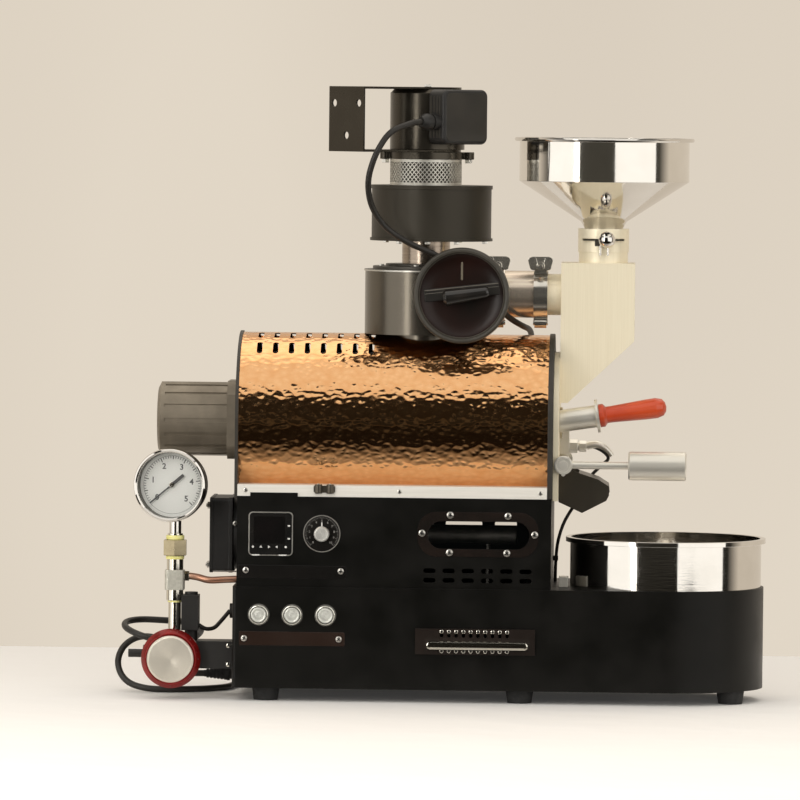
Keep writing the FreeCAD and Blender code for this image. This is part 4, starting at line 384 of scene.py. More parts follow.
def facing(start, way):
    z = Vector(way).normalized()     # local z along way, local y up
    x = (up if abs(z.z) < 0.99 else back).cross(z).normalized()
    place = Matrix((x, z.cross(x), z)).transposed().to_4x4()
    place.translation = Vector(start)
    return place


def paintNew(bm, old, slot):
    if slot:
        for face in bm.faces:
            if face not in old:
                face.material_index = slot


def soften(bm, edges, offset, segments=2):
    bmesh.ops.bevel(bm, geom=list(edges), offset=offset, offset_type="OFFSET", affect="EDGES", segments=segments,
                    profile=0.5, material=-1)


def cubeEdges(bm, low, high, place):
    low, high = Vector(low), Vector(high)
    spot = place @ Matrix.Translation((low + high) / 2) @ Matrix.Diagonal((*(high - low), 1))
    made = bmesh.ops.create_cube(bm, size=1, matrix=spot)
    return {e for v in made["verts"] for e in v.link_edges}


def addBlock(bm, low, high, place=Matrix(), edge=0.0, slot=0):
    old = set(bm.faces)
    edges = cubeEdges(bm, low, high, place)
    if edge:
        soften(bm, edges, edge)
    paintNew(bm, old, slot)


def addPlate(bm, low, high, corner, place=Matrix(), edge=0.0, slot=0, segments=6):
    old = set(bm.faces)
    edges = cubeEdges(bm, low, high, place)    # local z is the plate's thickness, and corner rounds its outline
    way = place.to_3x3().col[2].normalized()
    sides = [e for e in edges if abs((e.verts[0].co - e.verts[1].co).normalized().dot(way)) > 0.9]
    soften(bm, sides, corner, segments)
    if edge:
        flats = [f for f in bm.faces if f not in old and abs(f.normal.dot(way)) > 0.9]
        soften(bm, {e for f in flats for e in f.edges}, edge)
    paintNew(bm, old, slot)


def addRod(bm, r, start, way, length, steps=32, slot=0, edge=0.0):
    old = set(bm.faces)
    place = facing(start, way) @ Matrix.Translation((0, 0, length / 2))
    made = bmesh.ops.create_cone(bm, cap_ends=True, segments=steps, radius1=r, radius2=r, depth=length, matrix=place)
    if edge:
        soften(bm, {e for v in made["verts"] for e in v.link_edges if any(len(f.verts) > 4 for f in e.link_faces)}, edge)
    paintNew(bm, old, slot)


def addLathe(bm, outline, start, way, steps=72, slot=0):
    old = set(bm.faces)
    shape = bmesh.new()              # a closed outline of radius and height pairs, spun about way
    verts = [shape.verts.new((r, 0, h)) for r, h in outline]
    for a, b in zip(verts, verts[1:] + verts[:1]):
        if (a.co - b.co).length > 1e-6 and not (abs(a.co.x) < 1e-6 and abs(b.co.x) < 1e-6):
            shape.edges.new((a, b))
    bmesh.ops.spin(shape, geom=shape.verts[:] + shape.edges[:], cent=(0, 0, 0), axis=(0, 0, 1), dvec=(0, 0, 0),
                   angle=math.tau, steps=steps, use_merge=True, use_normal_flip=False, use_duplicate=False)
    bmesh.ops.remove_doubles(shape, verts=shape.verts[:], dist=1e-4)
    bmesh.ops.recalc_face_normals(shape, faces=shape.faces[:])
    shape.transform(facing(start, way))
    spun = bpy.data.meshes.new("spun")
    shape.to_mesh(spun)
    shape.free()
    bm.from_mesh(spun)
    bpy.data.meshes.remove(spun)
    paintNew(bm, old, slot)


def addSolid(bm, holder, place=Matrix(), slot=0):
    old = set(bm.faces)              # takes in the mesh of a line or a figure, and removes the curve
    bpy.context.view_layer.update()
    mesh = bpy.data.meshes.new_from_object(holder.evaluated_get(bpy.context.evaluated_depsgraph_get()))
    mesh.transform(place)
    bm.from_mesh(mesh)
    curve = holder.data
    bpy.data.objects.remove(holder)
    bpy.data.curves.remove(curve)
    bpy.data.meshes.remove(mesh)
    paintNew(bm, old, slot)


def addText(bm, text, height, bold, place, slot=0):
    figure = bpy.data.curves.new("figure", "FONT")
    figure.body, figure.size, figure.extrude, figure.offset = text, height, 0.03, bold
    figure.align_x, figure.align_y = "CENTER", "CENTER"
    figure.resolution_u = 4
    addSolid(bm, stand("figure", figure), place, slot)


def addScale(bm, face, scale):
    start, sweep, r, steps, last = [scale[key] for key in ("start", "sweep", "r", "steps", "last")]
    for k in range(steps + 1):
        spoke = face @ Matrix.Rotation(math.radians(start - sweep * k / steps), 4, "Z")
        long, wide = next((long, wide) for every, long, wide in scale["ticks"] if k % every == 0)
        addBlock(bm, (r - long, -wide, scale["low"]), (r, wide, scale["high"]), spoke, slot=1)
    for k in range(last + 1):
        angle, out = math.radians(start - sweep * k / last), scale["figureR"]
        spot = face @ Matrix.Translation((out * math.cos(angle), out * math.sin(angle), scale["figureZ"]))
        addText(bm, str(k), scale["size"], scale["bold"], spot, slot=1)


def drawLine(name, depth, roundness, points):
    line = bpy.data.curves.new(name, "CURVE")         # points: x, y, z and how thick the line is, in depths
    line.dimensions, line.bevel_depth, line.bevel_resolution = "3D", depth, roundness
    line.resolution_u, line.use_fill_caps = 8, True
    spline = line.splines.new("NURBS")
    spline.points.add(len(points) - 1)
    for point, (x, y, z, thick) in zip(spline.points, points):
        point.co, point.radius = (x, y, z, 1), thick
    spline.order_u = 3
    spline.use_endpoint_u = True
    return stand(name, line)


def placePiece(name, bm, body, looks, stands=(), edge=0.0, sharp=35, ready=False):
    if not ready:
        bm.transform(toFrame)
    mesh = bpy.data.meshes.new(name)
    bm.to_mesh(mesh)
    bm.free()
    for face in mesh.polygons:
        face.use_smooth = True
    mesh.set_sharp_from_angle(angle=math.radians(sharp))
    piece = stand(name, mesh)
    for lookName in [looks] if isinstance(looks, str) else looks:
        mesh.materials.append(look[lookName])
    if edge:
        soft = piece.modifiers.new("softEdges", "BEVEL")
        soft.width, soft.segments, soft.limit_method = edge * 0.001, 2, "ANGLE"
        soft.angle_limit, soft.harden_normals = math.radians(sharp), True
    even = piece.modifiers.new("evenShade", "WEIGHTED_NORMAL")
    even.keep_sharp, even.weight = True, 50
    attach(piece, body)
    if stands:
        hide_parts(*([stands] if isinstance(stands, str) else stands))
    return piece


def islandsOf(bm):
    waiting, islands = set(bm.faces), []
    while waiting:
        island, queue = [], [waiting.pop()]
        while queue:
            face = queue.pop()
            island.append(face)
            for edge in face.edges:
                for other in edge.link_faces:
                    if other in waiting:
                        waiting.remove(other)
                        queue.append(other)
        islands.append(island)
    return islands


def boxOf(island):
    points = [toFrame.inverted() @ v.co for face in island for v in face.verts]
    return [Vector([pick(p[k] for p in points) for k in range(3)]) for pick in (min, max)]


def nodeCopy(nodeName):
    bm = bmesh.new()
    bm.from_mesh(nodes[nodeName].data)
    bmesh.ops.remove_doubles(bm, verts=bm.verts[:], dist=2e-6)
    return bm


def carry(nodeName, name, looks, pick=None, edge=0.4, sharp=38):
    bm = nodeCopy(nodeName)
    if pick:                         # pick says which look a solid gets, from its two corners
        for island in islandsOf(bm):
            slot = pick(*boxOf(island))
            for face in island:
                face.material_index = slot
    bmesh.ops.dissolve_limit(bm, angle_limit=math.radians(0.6), verts=bm.verts[:], edges=bm.edges[:],
                             delimit={"MATERIAL"})
    return placePiece(name, bm, nodes[nodeName]["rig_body"], looks, nodeName, edge, sharp, ready=True)


lead = {
    "exit": (-26, 100, 22), "thick": 7, "length": 1.9, "coilCentre": (96, 276), "coilMean": 38.5, "coilGap": 7,
    "turns": 4, "perTurn": 16,
    "route": [
        (-26, 100, 22), (-46, 100, 21), (-70, 106, 22), (-93.8, 122.6, 27.6), (-104.4, 153.7, 35.1), (-83.5, 181, 41.3),
        (-52.4, 178.8, 52.7), (-39.7, 153.7, 66.1), (-54, 129, 75), (-83.7, 124.4, 77), (-107.8, 121, 78.1),
        (-122.8, 102.8, 76.4), (-121.3, 79.5, 71.4), (-103.6, 63.5, 64.4), (-75.8, 65.3, 57.1), (-53.5, 78.2, 50.4),
        (-46.9, 102, 46.1), (-59.1, 125, 45.6), (-82.2, 134.4, 55.2), (-106.8, 133.7, 60), (-126.4, 126.9, 49.3),
        (-132.8, 116.8, 29.3), (-122.4, 106.9, 10.4), (-99.3, 99.9, 3.5), (-70, 99, 3.5), (-40, 110, 3.5),
        (-14, 138, 3.5), (-8, 172, 3.5), (-6, 206, 3.5), (10, 232, 3.5), (38, 238, 3.5), (62, 235, 3.5)],
    "tail": [(110, 237.4, 17.6), (129, 236.6, 15.6), (148, 238.4, 12.4), (162, 244, 12)],
}


def eased(turn, start, end):
    return 0.5 - 0.5 * math.cos(math.pi * min(max((turn - start) / (end - start), 0), 1))


def makeLead():
    cx, cy = lead["coilCentre"]
    points = list(lead["route"])
    total = lead["turns"] * lead["perTurn"]
    for k in range(total + 1):                    # two turns on the floor, two on them, the last one on top
        turn = k / lead["perTurn"]
        r = lead["coilMean"] + lead["coilGap"] * (0.5 - eased(turn, 0.72, 1) + eased(turn, 2.22, 2.5)
                                                  - 0.5 * eased(turn, 3.03, 3.27))
        z = 3.5 + 7 * (eased(turn, 1.48, 1.74) + eased(turn, 3.03, 3.27))
        angle = math.tau * turn - math.pi / 2
        points.append((cx + r * math.cos(angle), cy + r * math.sin(angle), z))
    points += lead["tail"]
    piece = drawLine("mainsLead", lead["thick"] / 2000, 5, [(*inFrame(*spot), 1) for spot in points])
    piece.data.materials.append(look["cable"])
    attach(piece, "machine")
    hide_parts("power_cord", "cord_coil")
    bm = bmesh.new()                              # tapered relief with ribs at the case
    ribs = [(0, 0), (8.2, 0), (8.2, 3)]
    for k in range(6):
        r = 7.6 - 0.55 * k
        ribs += [(r, 3.6 + 3.8 * k), (r, 6.0 + 3.8 * k), (r - 1.1, 6.4 + 3.8 * k), (r - 1.1, 7.2 + 3.8 * k)]
    ribs += [(3.7, 27.5), (0, 27.5)]
    addLathe(bm, ribs, (-8, 100, 22.3), (-1, 0, -0.03), 32)
    relief = placePiece("leadRelief", bm, "machine", "rubber", sharp=50)
    bm = bmesh.new()                              # tie round the coil
    addPlate(bm, (-9.4, -9.9, -4), (9.4, 12.6, 4), 3, facing((cx + lead["coilMean"], cy, 10.1), (0, 1, 0)), edge=0.5)
    tie = placePiece("leadTie", bm, "machine", "rubber", sharp=50)
    plug = carry("mains_plug", "mainsPlug", ["blackPlastic", "nickelPlate"], edge=0.7,
                 pick=lambda low, high: 1 if (high - low).z < 12 else 0)


makeLead()
print("the mains lead lies in its coil")


# a scale's ticks: every how many steps, how far in they reach and half their width
gauge = {"back": (-67, 52, 229), "turn": -8, "r": 39.8, "deep": 26, "zero": 130, "needle": 31,
         "scale": {"start": 220, "sweep": 264, "r": 31, "steps": 50, "ticks": ((10, 4.6, 0.5), (5, 3.4, 0.5), (1, 2.4, 0.3)),
                   "low": 0.3, "high": 0.36, "last": 5, "figureR": 21.6, "figureZ": 0.33, "size": 8.6, "bold": 0.22}}


def makeGauge():
    turn = math.radians(gauge["turn"])
    way = Vector((math.sin(turn), -math.cos(turn), 0))
    start, r, deep = Vector(gauge["back"]), gauge["r"], gauge["deep"]
    bm = bmesh.new()
    addLathe(bm, [(0, 0), (r - 5, 0), (r - 2.6, 1.2), (r - 2, 3), (r - 2, deep - 8.5), (r - 0.4, deep - 7.8),
                  (r, deep - 6.8), (r, deep - 2.6), (r - 0.9, deep - 0.9), (r - 2.6, deep), (r - 4, deep - 0.8),
                  (r - 4.5, deep - 2.2), (r - 4.5, 10), (0, 10)], start, way, 96)
    for face in bm.faces:                            # the bezel is bright and the case behind it dull
        if (face.calc_center_median() - start).dot(way) < deep - 8.2:
            face.material_index = 1
    addRod(bm, 6.5, (-64.5, 40, 177), up, 16, edge=0.6)
    addRod(bm, 2.2, start + way * 18 + up * (r - 2.4), up, 2.4, steps=20, edge=0.6)
    placePiece("gaugeBody", bm, "machine", ["polished", "caseDark"], "gauge_case", sharp=30)

    bm = bmesh.new()
    face = facing(start + way * 10.15, way)
    addLathe(bm, [(0, 0), (r - 4.7, 0), (r - 4.7, 0.3), (0, 0.3)], face.translation, way, 72)
    addScale(bm, face, gauge["scale"])
    addLathe(bm, [(31.2, 0.28), (31.5, 0.28), (31.5, 0.36), (31.2, 0.36)], face.translation, way, 72, slot=1)
    placePiece("gaugeFace", bm, "machine", ["gaugeWhite", "inkGrey"])

    bm = bmesh.new()
    hub = facing(start + way * 12.2, way)
    addRod(bm, 3.0, hub.translation, way, 2.2, steps=28, edge=0.5, slot=1)
    pointer = hub @ Matrix.Rotation(math.radians(gauge["zero"]), 4, "Z")
    known = len(bm.verts)
    addBlock(bm, (-0.8, 0, 0.9), (0.8, gauge["needle"], 1.7), pointer)
    bm.verts.ensure_lookup_table()
    for v in bm.verts[known:]:
        local = pointer.inverted() @ v.co
        if local.y > 10:
            local.x *= 0.2
            v.co = pointer @ local
    addBlock(bm, (-1.7, -17, 0.9), (1.7, 0, 1.7), pointer, edge=0.4)
    placePiece("gaugeNeedle", bm, "needle", ["inkGrey", "nickelPlate"], "gauge_needle")


# round parts of the column: radius, height over the table, how tall, slot (2 is sealing tape) and edge
column = {"x": -64.5, "y": 40, "nutAcross": 24,
          "rounds": ((9.8, 170, 5, 2, 1.2), (9.9, 149.0, 4, 2, 1.0), (8.2, 174, 3, 0, 0.4), (9.0, 137, 12.5, 0, 0.4),
                     (9.2, 104.5, 12, 0, 0.6), (7.6, 102.5, 2.4, 2, 0.6), (6.8, 61.5, 42, 0, 0.5))}


def makeColumn():
    x, y = column["x"], column["y"]
    bm = bmesh.new()
    addRod(bm, column["nutAcross"] / math.sqrt(3), (x, y, 153), up, 17, steps=6, slot=1, edge=0.8)
    for r, z, tall, slot, edge in column["rounds"]:
        addRod(bm, r, (x, y, z), up, tall, steps=40, slot=slot, edge=edge)
    addPlate(bm, (-10.5, -10, 0), (10.5, 10, 21.6), 4, Matrix.Translation((x, y, 116)), edge=0.8, slot=3)
    addRod(bm, 5.2, (x + 10, y, 131), right, 5.5, steps=6, edge=0.5)
    copper = nodeCopy("gas_fittings")
    islands = islandsOf(copper)
    pipe = max(islands, key=lambda faces: max(v.co.x for f in faces for v in f.verts))
    for island in islands:
        if island is not pipe:
            bmesh.ops.delete(copper, geom=island, context="FACES")
    placePiece("copperFeed", copper, "machine", "copperPipe", ready=True)
    placePiece("gasColumn", bm, "machine", ["nickelPlate", "hexBrass", "sealTape", "knurledBlock"],
               "gas_fittings", sharp=32)


regulator = {"knob": (-66, 11, 44), "r": 25, "ring": 32}
look["turnedKnob"] = turnedFace("turnedKnob", regulator["knob"], (0.98, 0.92, 0.80), 0.0011, 0.26, 0.65)


def makeRegulator():
    start, r, ring = regulator["knob"], regulator["r"], regulator["ring"]
    bm = bmesh.new()
    addLathe(bm, [(0, 0), (ring - 1, 0), (ring, 0.8), (ring, 3.6), (ring - 1.2, 5.4), (r + 2.4, 9.4), (r + 1.4, 9.9),
                  (0, 9.9)], start, front, 96)
    for k in range(24):
        spoke = facing(start, front) @ Matrix.Rotation(math.radians(15 * k), 4, "Z")
        addBlock(bm, (ring - 4.6, -0.25, 6.6), (ring - 2.6 if k % 3 else ring - 1.9, 0.25, 7.3), spoke, slot=2)
    addLathe(bm, [(0, 8.6), (r - 0.6, 8.6), (r, 9.4), (r, 15.6), (r - 1.6, 17.2), (r - 2.4, 17.5), (9.5, 17.3),
                  (6.5, 16.6), (0, 16.9)], start, front, 96, slot=1)
    addRod(bm, 5, start, back, 17, edge=0.4, slot=1)
    placePiece("regulatorKnob", bm, "regulator", ["redAnodised", "turnedKnob", "inkGrey"], "regulator_knob",
               sharp=30)


def addScrew(bm, spot, way, r, head, slot=0, cross=1):
    addLathe(bm, [(0, 0), (r, 0), (r, head * 0.42), (r * 0.9, head * 0.72), (r * 0.6, head * 0.95), (0, head)],
             spot, way, 28, slot)
    place = facing(spot, way) @ Matrix.Rotation(math.radians(20 + 37 * (spot[0] % 3)), 4, "Z")
    for wide, tall in ((r * 0.56, r * 0.13), (r * 0.13, r * 0.56)):          # the driver slot's cross, black as painted shade in its recess
        addBlock(bm, (-wide, -tall, head * 0.5), (wide, tall, head * 0.5 + 0.56 * head), place, slot=cross)


valves = {"nut": (-47.2, 40, 110.8), "screws": ((-88, 37), (-88, 57.5), (-5, 37), (-5, 57.5)), "blackAbove": 68}


def makeValves():
    carry("gas_valves", "gasValves", ["blackPlastic", "solenoidBlack"], edge=0.8,
          pick=lambda low, high: int(low.z > valves["blackAbove"]))
    bm = bmesh.new()
    addRod(bm, 5.4, valves["nut"], up, 3.0, steps=6, edge=0.4)
    for x, z in valves["screws"]:
        addScrew(bm, (x, 22, z), front, 2.6, 1.4)
    placePiece("valveTrim", bm, "machine", ["nickelPlate", "recessShadeBlack"], sharp=30)


# head spots, the way they face, their radius and height
screwHeads = [
    (((13, -1, 67.5), (114.6, -1, 67.5), (14, 2, 140.5), (116, 2, 140.5)), front, 3.5, 2.2),
    (((232.8, 1.8, 202.2), (294.7, 1.8, 201.8), (202.7, 1.8, 182.5), (323.4, 1.8, 182), (232.3, 1.8, 162),
      (293.8, 1.8, 162)), front, 3.9, 2.2),
    (((13, 4.5, 226.5), (178, 4.5, 226.5), (329, 4.5, 226.5)), front, 2.4, 1.2)]
boltHeads = [
    (((155.8, 133, 494), (172.7, 56.5, 494), (204, 46, 494), (235, 53.8, 494), (235, 154.2, 494), (264, 104, 494)),
     down, 3.4, 3),
    (((155.5, 104, 582), (245.5, 104, 582)), down, 4.4, 4), (((200.5, 104, 660),), up, 4.4, 3)]


def makeScrews():
    bm = bmesh.new()
    for spots, way, r, head in screwHeads:
        for spot in spots:
            addScrew(bm, spot, way, r, head)
    placePiece("screwHeads", bm, "machine", ["zincPlate", "recessShadeBlack"], "screws", sharp=30)
    bm = bmesh.new()
    for spots, way, r, head in boltHeads:
        for spot in spots:
            addRod(bm, r, spot, way, head, steps=6, edge=0.4)
            addRod(bm, r * 0.5, Vector(spot) - way * 4, way, 4.2, steps=16)
    placePiece("boltHeads", bm, "machine", "zincPlate", sharp=30)


makeGauge()
makeColumn()
makeRegulator()
makeValves()
makeScrews()
print("the gas line and the screws are made")

# signs: where each stands and how far it is turned; two of them are squares and the others triangles
controller = {"low": (16.7, 156.3), "high": (64.3, 203.4), "signZ": 165.8, "signR": 1.7, "lampX": 60.0,
              "lampZ": (188.6, 174.7), "signs": ((21.5, 45), (30.1, 0), (38.6, -90), (47.2, 90), (56.8, 0)),
              "squares": (21.5, 56.8), "latchX": (24.5, 53.5)}


def makeController():
    (x0, z0), (x1, z1) = controller["low"], controller["high"]
    cx, cz, w, h = (x0 + x1) / 2, (z0 + z1) / 2, (x1 - x0) / 2, (z1 - z0) / 2
    middle = facing((cx, 3, cz), front)
    bm = bmesh.new()
    addBlock(bm, (-w + 1.6, -h + 1.6, -60), (w - 1.6, h - 1.6, 0), middle, edge=0.8)
    addPlate(bm, (-w, -h, -0.2), (w, h, 2.2), 4.5, middle, edge=0.5, slot=1)
    addPlate(bm, (-w + 1.1, -h + 1.1, 1.5), (w - 1.1, h - 1.1, 2.5), 3.6, middle, edge=0.25, slot=2)
    addPlate(bm, (-w + 5.5, -h + 13, 2.4), (w - 8.5, h - 5, 2.56), 1.2, middle, slot=3)

    def addMark(x, y, z, wide, tall, low, high, corner):
        place = middle @ Matrix.Translation((x - cx, y, z))
        addPlate(bm, (-wide, -tall, low), (wide, tall, high), corner, place, slot=4, segments=3)

    for x, angle in controller["signs"]:
        place = middle @ Matrix.Translation((x - cx, controller["signZ"] - cz, 2.5))
        turn = place @ Matrix.Rotation(math.radians(angle), 4, "Z")
        if x in controller["squares"]:
            addPlate(bm, (-1.1, -1.1, -0.1), (1.1, 1.1, 0.08), 0.5, turn, slot=4, segments=3)
        else:
            bmesh.ops.create_cone(bm, cap_ends=True, segments=3, radius1=controller["signR"], radius2=controller["signR"],
                                  depth=0.18, matrix=turn)
            for face in bm.faces[-5:]:
                face.material_index = 4
    for z in controller["lampZ"]:
        addMark(controller["lampX"], z - cz, 2.5, 1.3, 0.75, -0.1, 0.08, 0.3)
    for x in controller["latchX"]:
        addMark(x, -h + 0.75, 2.2, 4.2, 0.7, -0.4, 0.3, 0.3)
    placePiece("heatController", bm, "machine",
               ["blackPlastic", "rimSteel", "controllerFace", "screenBlack", "printWhite"], "heat_controller", sharp=30)


dial = {"centre": (95.3, 0, 180.5), "knob": 8,
        "scale": {"start": 225, "sweep": 270, "r": 17.9, "steps": 50, "ticks": ((5, 2.6, 0.14), (1, 1.3, 0.14)), "low": 0.0,
                  "high": 0.3, "last": 10, "figureR": 13.4, "figureZ": 0.22, "size": 3.3, "bold": 0.04}}
look["turnedDial"] = turnedFace("turnedDial", dial["centre"], (0.98, 0.97, 0.92), 0.0007, 0.22, 0.6)


def makeDial():
    x, y, z = dial["centre"]
    face = facing((x, 1.9, z), front)
    bm = bmesh.new()
    addLathe(bm, [(19.0, 0.0), (19.9, 0.0), (19.9, 0.45), (19.0, 0.45)], face.translation, front, 72)
    addScale(bm, face, dial["scale"])
    placePiece("dialScale", bm, "machine", ["rimSteel", "printDim"])
    bm = bmesh.new()
    r, knob = dial["knob"], facing((x, 0.9, z), front)
    addRod(bm, 3, (x, 21.5, z), front, 22, steps=24)
    addLathe(bm, [(0, 0), (r, 0), (r, 9.2), (r - 0.7, 10.2), (r - 1.6, 10.4), (r - 2.1, 9.9), (0, 9.9)],
             (x, 0.9, z), front, 48)
    for k in range(36):
        spoke = knob @ Matrix.Rotation(math.radians(10 * k), 4, "Z")
        addBlock(bm, (r - 0.3, -0.3, 0.6), (r + 0.25, 0.3, 8.8), spoke)
    addBlock(bm, (-0.6, r - 0.2, 0.3), (0.6, r + 4.2, 1.0), knob, slot=1, edge=0.2)
    placePiece("dialKnob", bm, "dial", ["turnedDial", "printWhite"], "dial_knob", sharp=30)


buttons = {"x": {"start": 28.5, "cool": 64.35, "lamp": 100.2}, "z": 93}


def makeButtons():
    z = buttons["z"]
    bm = bmesh.new()
    for x in buttons["x"].values():
        addLathe(bm, [(8.5, -28), (9.6, -28), (9.6, 0), (11.75, 0), (11.75, 1.4), (11.2, 3.6), (10.2, 5.1), (9.5, 5.4),
                      (8.9, 5.3), (8.5, 4.4)], (x, 0, z), front, 56)
        addRod(bm, 12.4, (x, 8.5, z), front, 3.4, steps=6, edge=0.5)
    dialX, _, dialZ = dial["centre"]
    addRod(bm, 8.2, (dialX, 16, dialZ), front, 10, steps=40, edge=0.6)
    addLathe(bm, [(3.3, 0), (5.6, 0), (5.6, 3), (3.3, 3)], (dialX, 5.6, dialZ), front, 24)
    placePiece("buttonRings", bm, "machine", "buttonSteel", "panel_controls", sharp=30)
    for name, x in buttons["x"].items():
        face = name + "Turned"
        look[face] = turnedFace(face, (x, 0, z), (0.93, 0.94, 0.88), 0.0016, 0.3, 0.5)
        bm = bmesh.new()
        addLathe(bm, [(0, -13.3), (8.1, -13.3), (8.2, 5.4), (7.9, 6.3), (7.0, 6.5), (6.3, 6.2), (6.0, 5.3), (4.4, 5.3),
                      (4.1, 5.9), (2.6, 6.1), (2.3, 5.6), (0, 5.5)], (x, 0, z), front, 56)
        placePiece(name + "Cap", bm, name + "_key", face, name + "_button", sharp=30)


handle = {"low": 208, "high": 319, "z": (58.5, 68), "eyelets": 10, "start": 225, "step": 7.8, "rows": (77.4, 56.4),
          "face": -2.5}


def makeDrawerHandle():
    z0, z1 = handle["z"]
    middle = (z0 + z1) / 2
    bm = bmesh.new()
    addPlate(bm, (handle["low"] + 0.5, z0, 12.6), (handle["high"] - 0.5, z1, 20), 4.6, facing((0, 0, 0), front),
             edge=3.2, segments=10)
    for x in (handle["low"] + 5, handle["high"] - 5):
        addRod(bm, 4.2, (x, 4, middle), front, 19, steps=28, edge=0.8)
    placePiece("drawerHandle", bm, "drawer", "nickelPlate", "drawer_handle", sharp=42)
    bm = bmesh.new()
    for k in range(handle["eyelets"]):                    # pressed eyelets over and under the bow, black discs in them as painted shade
        for z in handle["rows"]:
            spot = (handle["start"] + handle["step"] * k, handle["face"], z)
            addLathe(bm, [(1.25, 0), (2.15, 0), (2.05, 0.5), (1.5, 0.7), (1.25, 0.4)], spot, front, 16)
            addLathe(bm, [(0, 0.02), (1.3, 0.02), (1.3, 0.12), (0, 0.12)], spot, front, 16, slot=1)
    placePiece("drawerEyelets", bm, "drawer", ["clampSteel", "recessShadeBlack"], sharp=40)


makeController()
makeDial()
makeButtons()
makeDrawerHandle()
print("the panel is made")

guard = {"x": 199.4, "y": 104, "r": 38.8, "low": 554, "high": 582, "strands": 52, "lean": 34, "wire": 0.5}


def makeGuard():
    bm = bmesh.new()
    place = Vector((guard["x"], guard["y"], 0))
    tall, wire, r = guard["high"] - guard["low"] - 2, guard["wire"], guard["r"] - 0.5
    for lean in (guard["lean"], -guard["lean"]):
        strand = bmesh.new()
        corners = [strand.verts.new((r + x * wire, 0, guard["low"] + 1 + z * wire * 1.2))
                   for x, z in ((-1, -1), (1, -1), (1, 1), (-1, 1))]
        ring = [strand.edges.new((a, b)) for a, b in zip(corners, corners[1:] + corners[:1])]
        bmesh.ops.spin(strand, geom=corners + ring, cent=(0, 0, 0), axis=(0, 0, 1), dvec=(0, 0, tall / 7),
                       angle=math.radians(lean), steps=7, use_merge=False, use_normal_flip=False, use_duplicate=False)
        bmesh.ops.recalc_face_normals(strand, faces=strand.faces[:])
        mesh = bpy.data.meshes.new("strand")
        strand.to_mesh(mesh)
        strand.free()
        for k in range(guard["strands"]):
            known = len(bm.verts)
            bm.from_mesh(mesh)
            bm.verts.ensure_lookup_table()
            turn = Matrix.Translation(place) @ Matrix.Rotation(math.tau * k / guard["strands"], 4, "Z")
            bmesh.ops.transform(bm, matrix=turn, verts=bm.verts[known:])
        bpy.data.meshes.remove(mesh)
    for z in (guard["low"], guard["high"] - 3):
        addLathe(bm, [(r - 1.2, z), (r + 0.5, z), (r + 0.5, z + 3), (r - 1.2, z + 3)], place, up, 72)
    for angle in (45, 135, 225, 315):                # posts inside the mesh carry the motor
        turn = math.radians(angle)
        spot = place + Vector((33 * math.cos(turn), 33 * math.sin(turn), guard["low"]))
        addRod(bm, 2.6, spot, up, 28, steps=16, slot=1)
    addRod(bm, 25, (200.5, guard["y"], guard["low"]), up, 28, steps=48, slot=1, edge=0.5)
    placePiece("guardMesh", bm, "machine", ["meshSteel", "darkSteel"], "blower_guard", sharp=40)


tower = {"x": 200.5, "y": 104}


def makeLid():
    bm = bmesh.new()
    outline = [(24, 461), (66.9, 461), (66.9, 462.6), (66.4, 463), (57.5, 463.2), (57.5, 466.1), (57.0, 466.5),
               (43.5, 466.7), (43.5, 468.6), (43.0, 469), (26, 469.2), (26, 494), (24, 494)]
    addLathe(bm, outline, (tower["x"], tower["y"], 0), up, 96)
    for face in bm.faces:
        middle = face.calc_center_median()
        far = (middle - Vector((tower["x"], tower["y"], middle.z))).length
        if far < 26.4:
            face.material_index = 1
        elif 461.2 < middle.z < 462.7 and far > 66:
            face.material_index = 2
    for k in range(6):
        turn = math.radians(60 * k + 20)
        addRod(bm, 3.0, (tower["x"] + 50.5 * math.cos(turn), tower["y"] + 50.5 * math.sin(turn), 466.4), up, 2.2, steps=6,
               edge=0.3, slot=2)
    placePiece("canisterLid", bm, "machine", ["lidDark", "riserSteel", "rimSteel"],
               "canister_lid", sharp=30)


wheel = {"centre": (242, 28, 437), "r": 51.5, "lean": 6.6}


def makeWheel():
    centre, r = Vector(wheel["centre"]), wheel["r"]
    bm = bmesh.new()
    addLathe(bm, [(0, 0), (r - 2.5, 0), (r - 0.5, 1.5), (r, 4), (r, 12), (r - 0.9, 14.8), (r - 2.7, 16), (r - 4.7, 15.5),
                  (r - 5.6, 14.0), (r - 6.0, 12.6), (r - 6.6, 12.0), (r - 7.0, 10.6), (40, 7.2), (30, 5.6), (14, 5.0),
                  (0, 5.0)], centre, front, 96)
    # the dish inside the rim is dark, and a thin grey ring at the rim's inner lip is a painted highlight
    for face in bm.faces:
        middle = face.calc_center_median()
        far = math.hypot(middle.x - centre.x, middle.z - centre.z)
        if middle.y < centre.y - 3 and far < r - 6.8:
            face.material_index = 1
        elif middle.y < centre.y - 3 and far < r - 6.05:
            face.material_index = 2
    flat = facing(centre, front)
    lean = flat @ Matrix.Rotation(math.radians(wheel["lean"]), 4, "Z")
    addBlock(bm, (-40, -3, 4.5), (41, 10.4, 8.4), lean, edge=0.9, slot=4)
    # painted highlights: two thin pale strips along the bar's top edges
    addBlock(bm, (-39.5, 8.6, 8.0), (40.5, 9.6, 8.9), lean, edge=0.3, slot=2)
    addBlock(bm, (-39.5, 5.4, 8.2), (40.5, 5.9, 8.7), lean, edge=0.15, slot=2)
    addBlock(bm, (-1.2, 16.5, 4.8), (1.2, 36.5, 6.6), flat, edge=0.6, slot=3)
    addRod(bm, 7.2, centre, back, 15.6, steps=48, edge=0.6)
    placePiece("handwheelDish", bm, "wheel",
               ["wheelRim", "wheelDish", "paintedHighlightGrey", "tickPale", "barBlack"], "handwheel", sharp=30)


box = {"way": (0.7317, 0.6816, 0), "side": (0.6816, -0.7317, 0), "low": 598.5, "high": 657.5, "screw": 628}


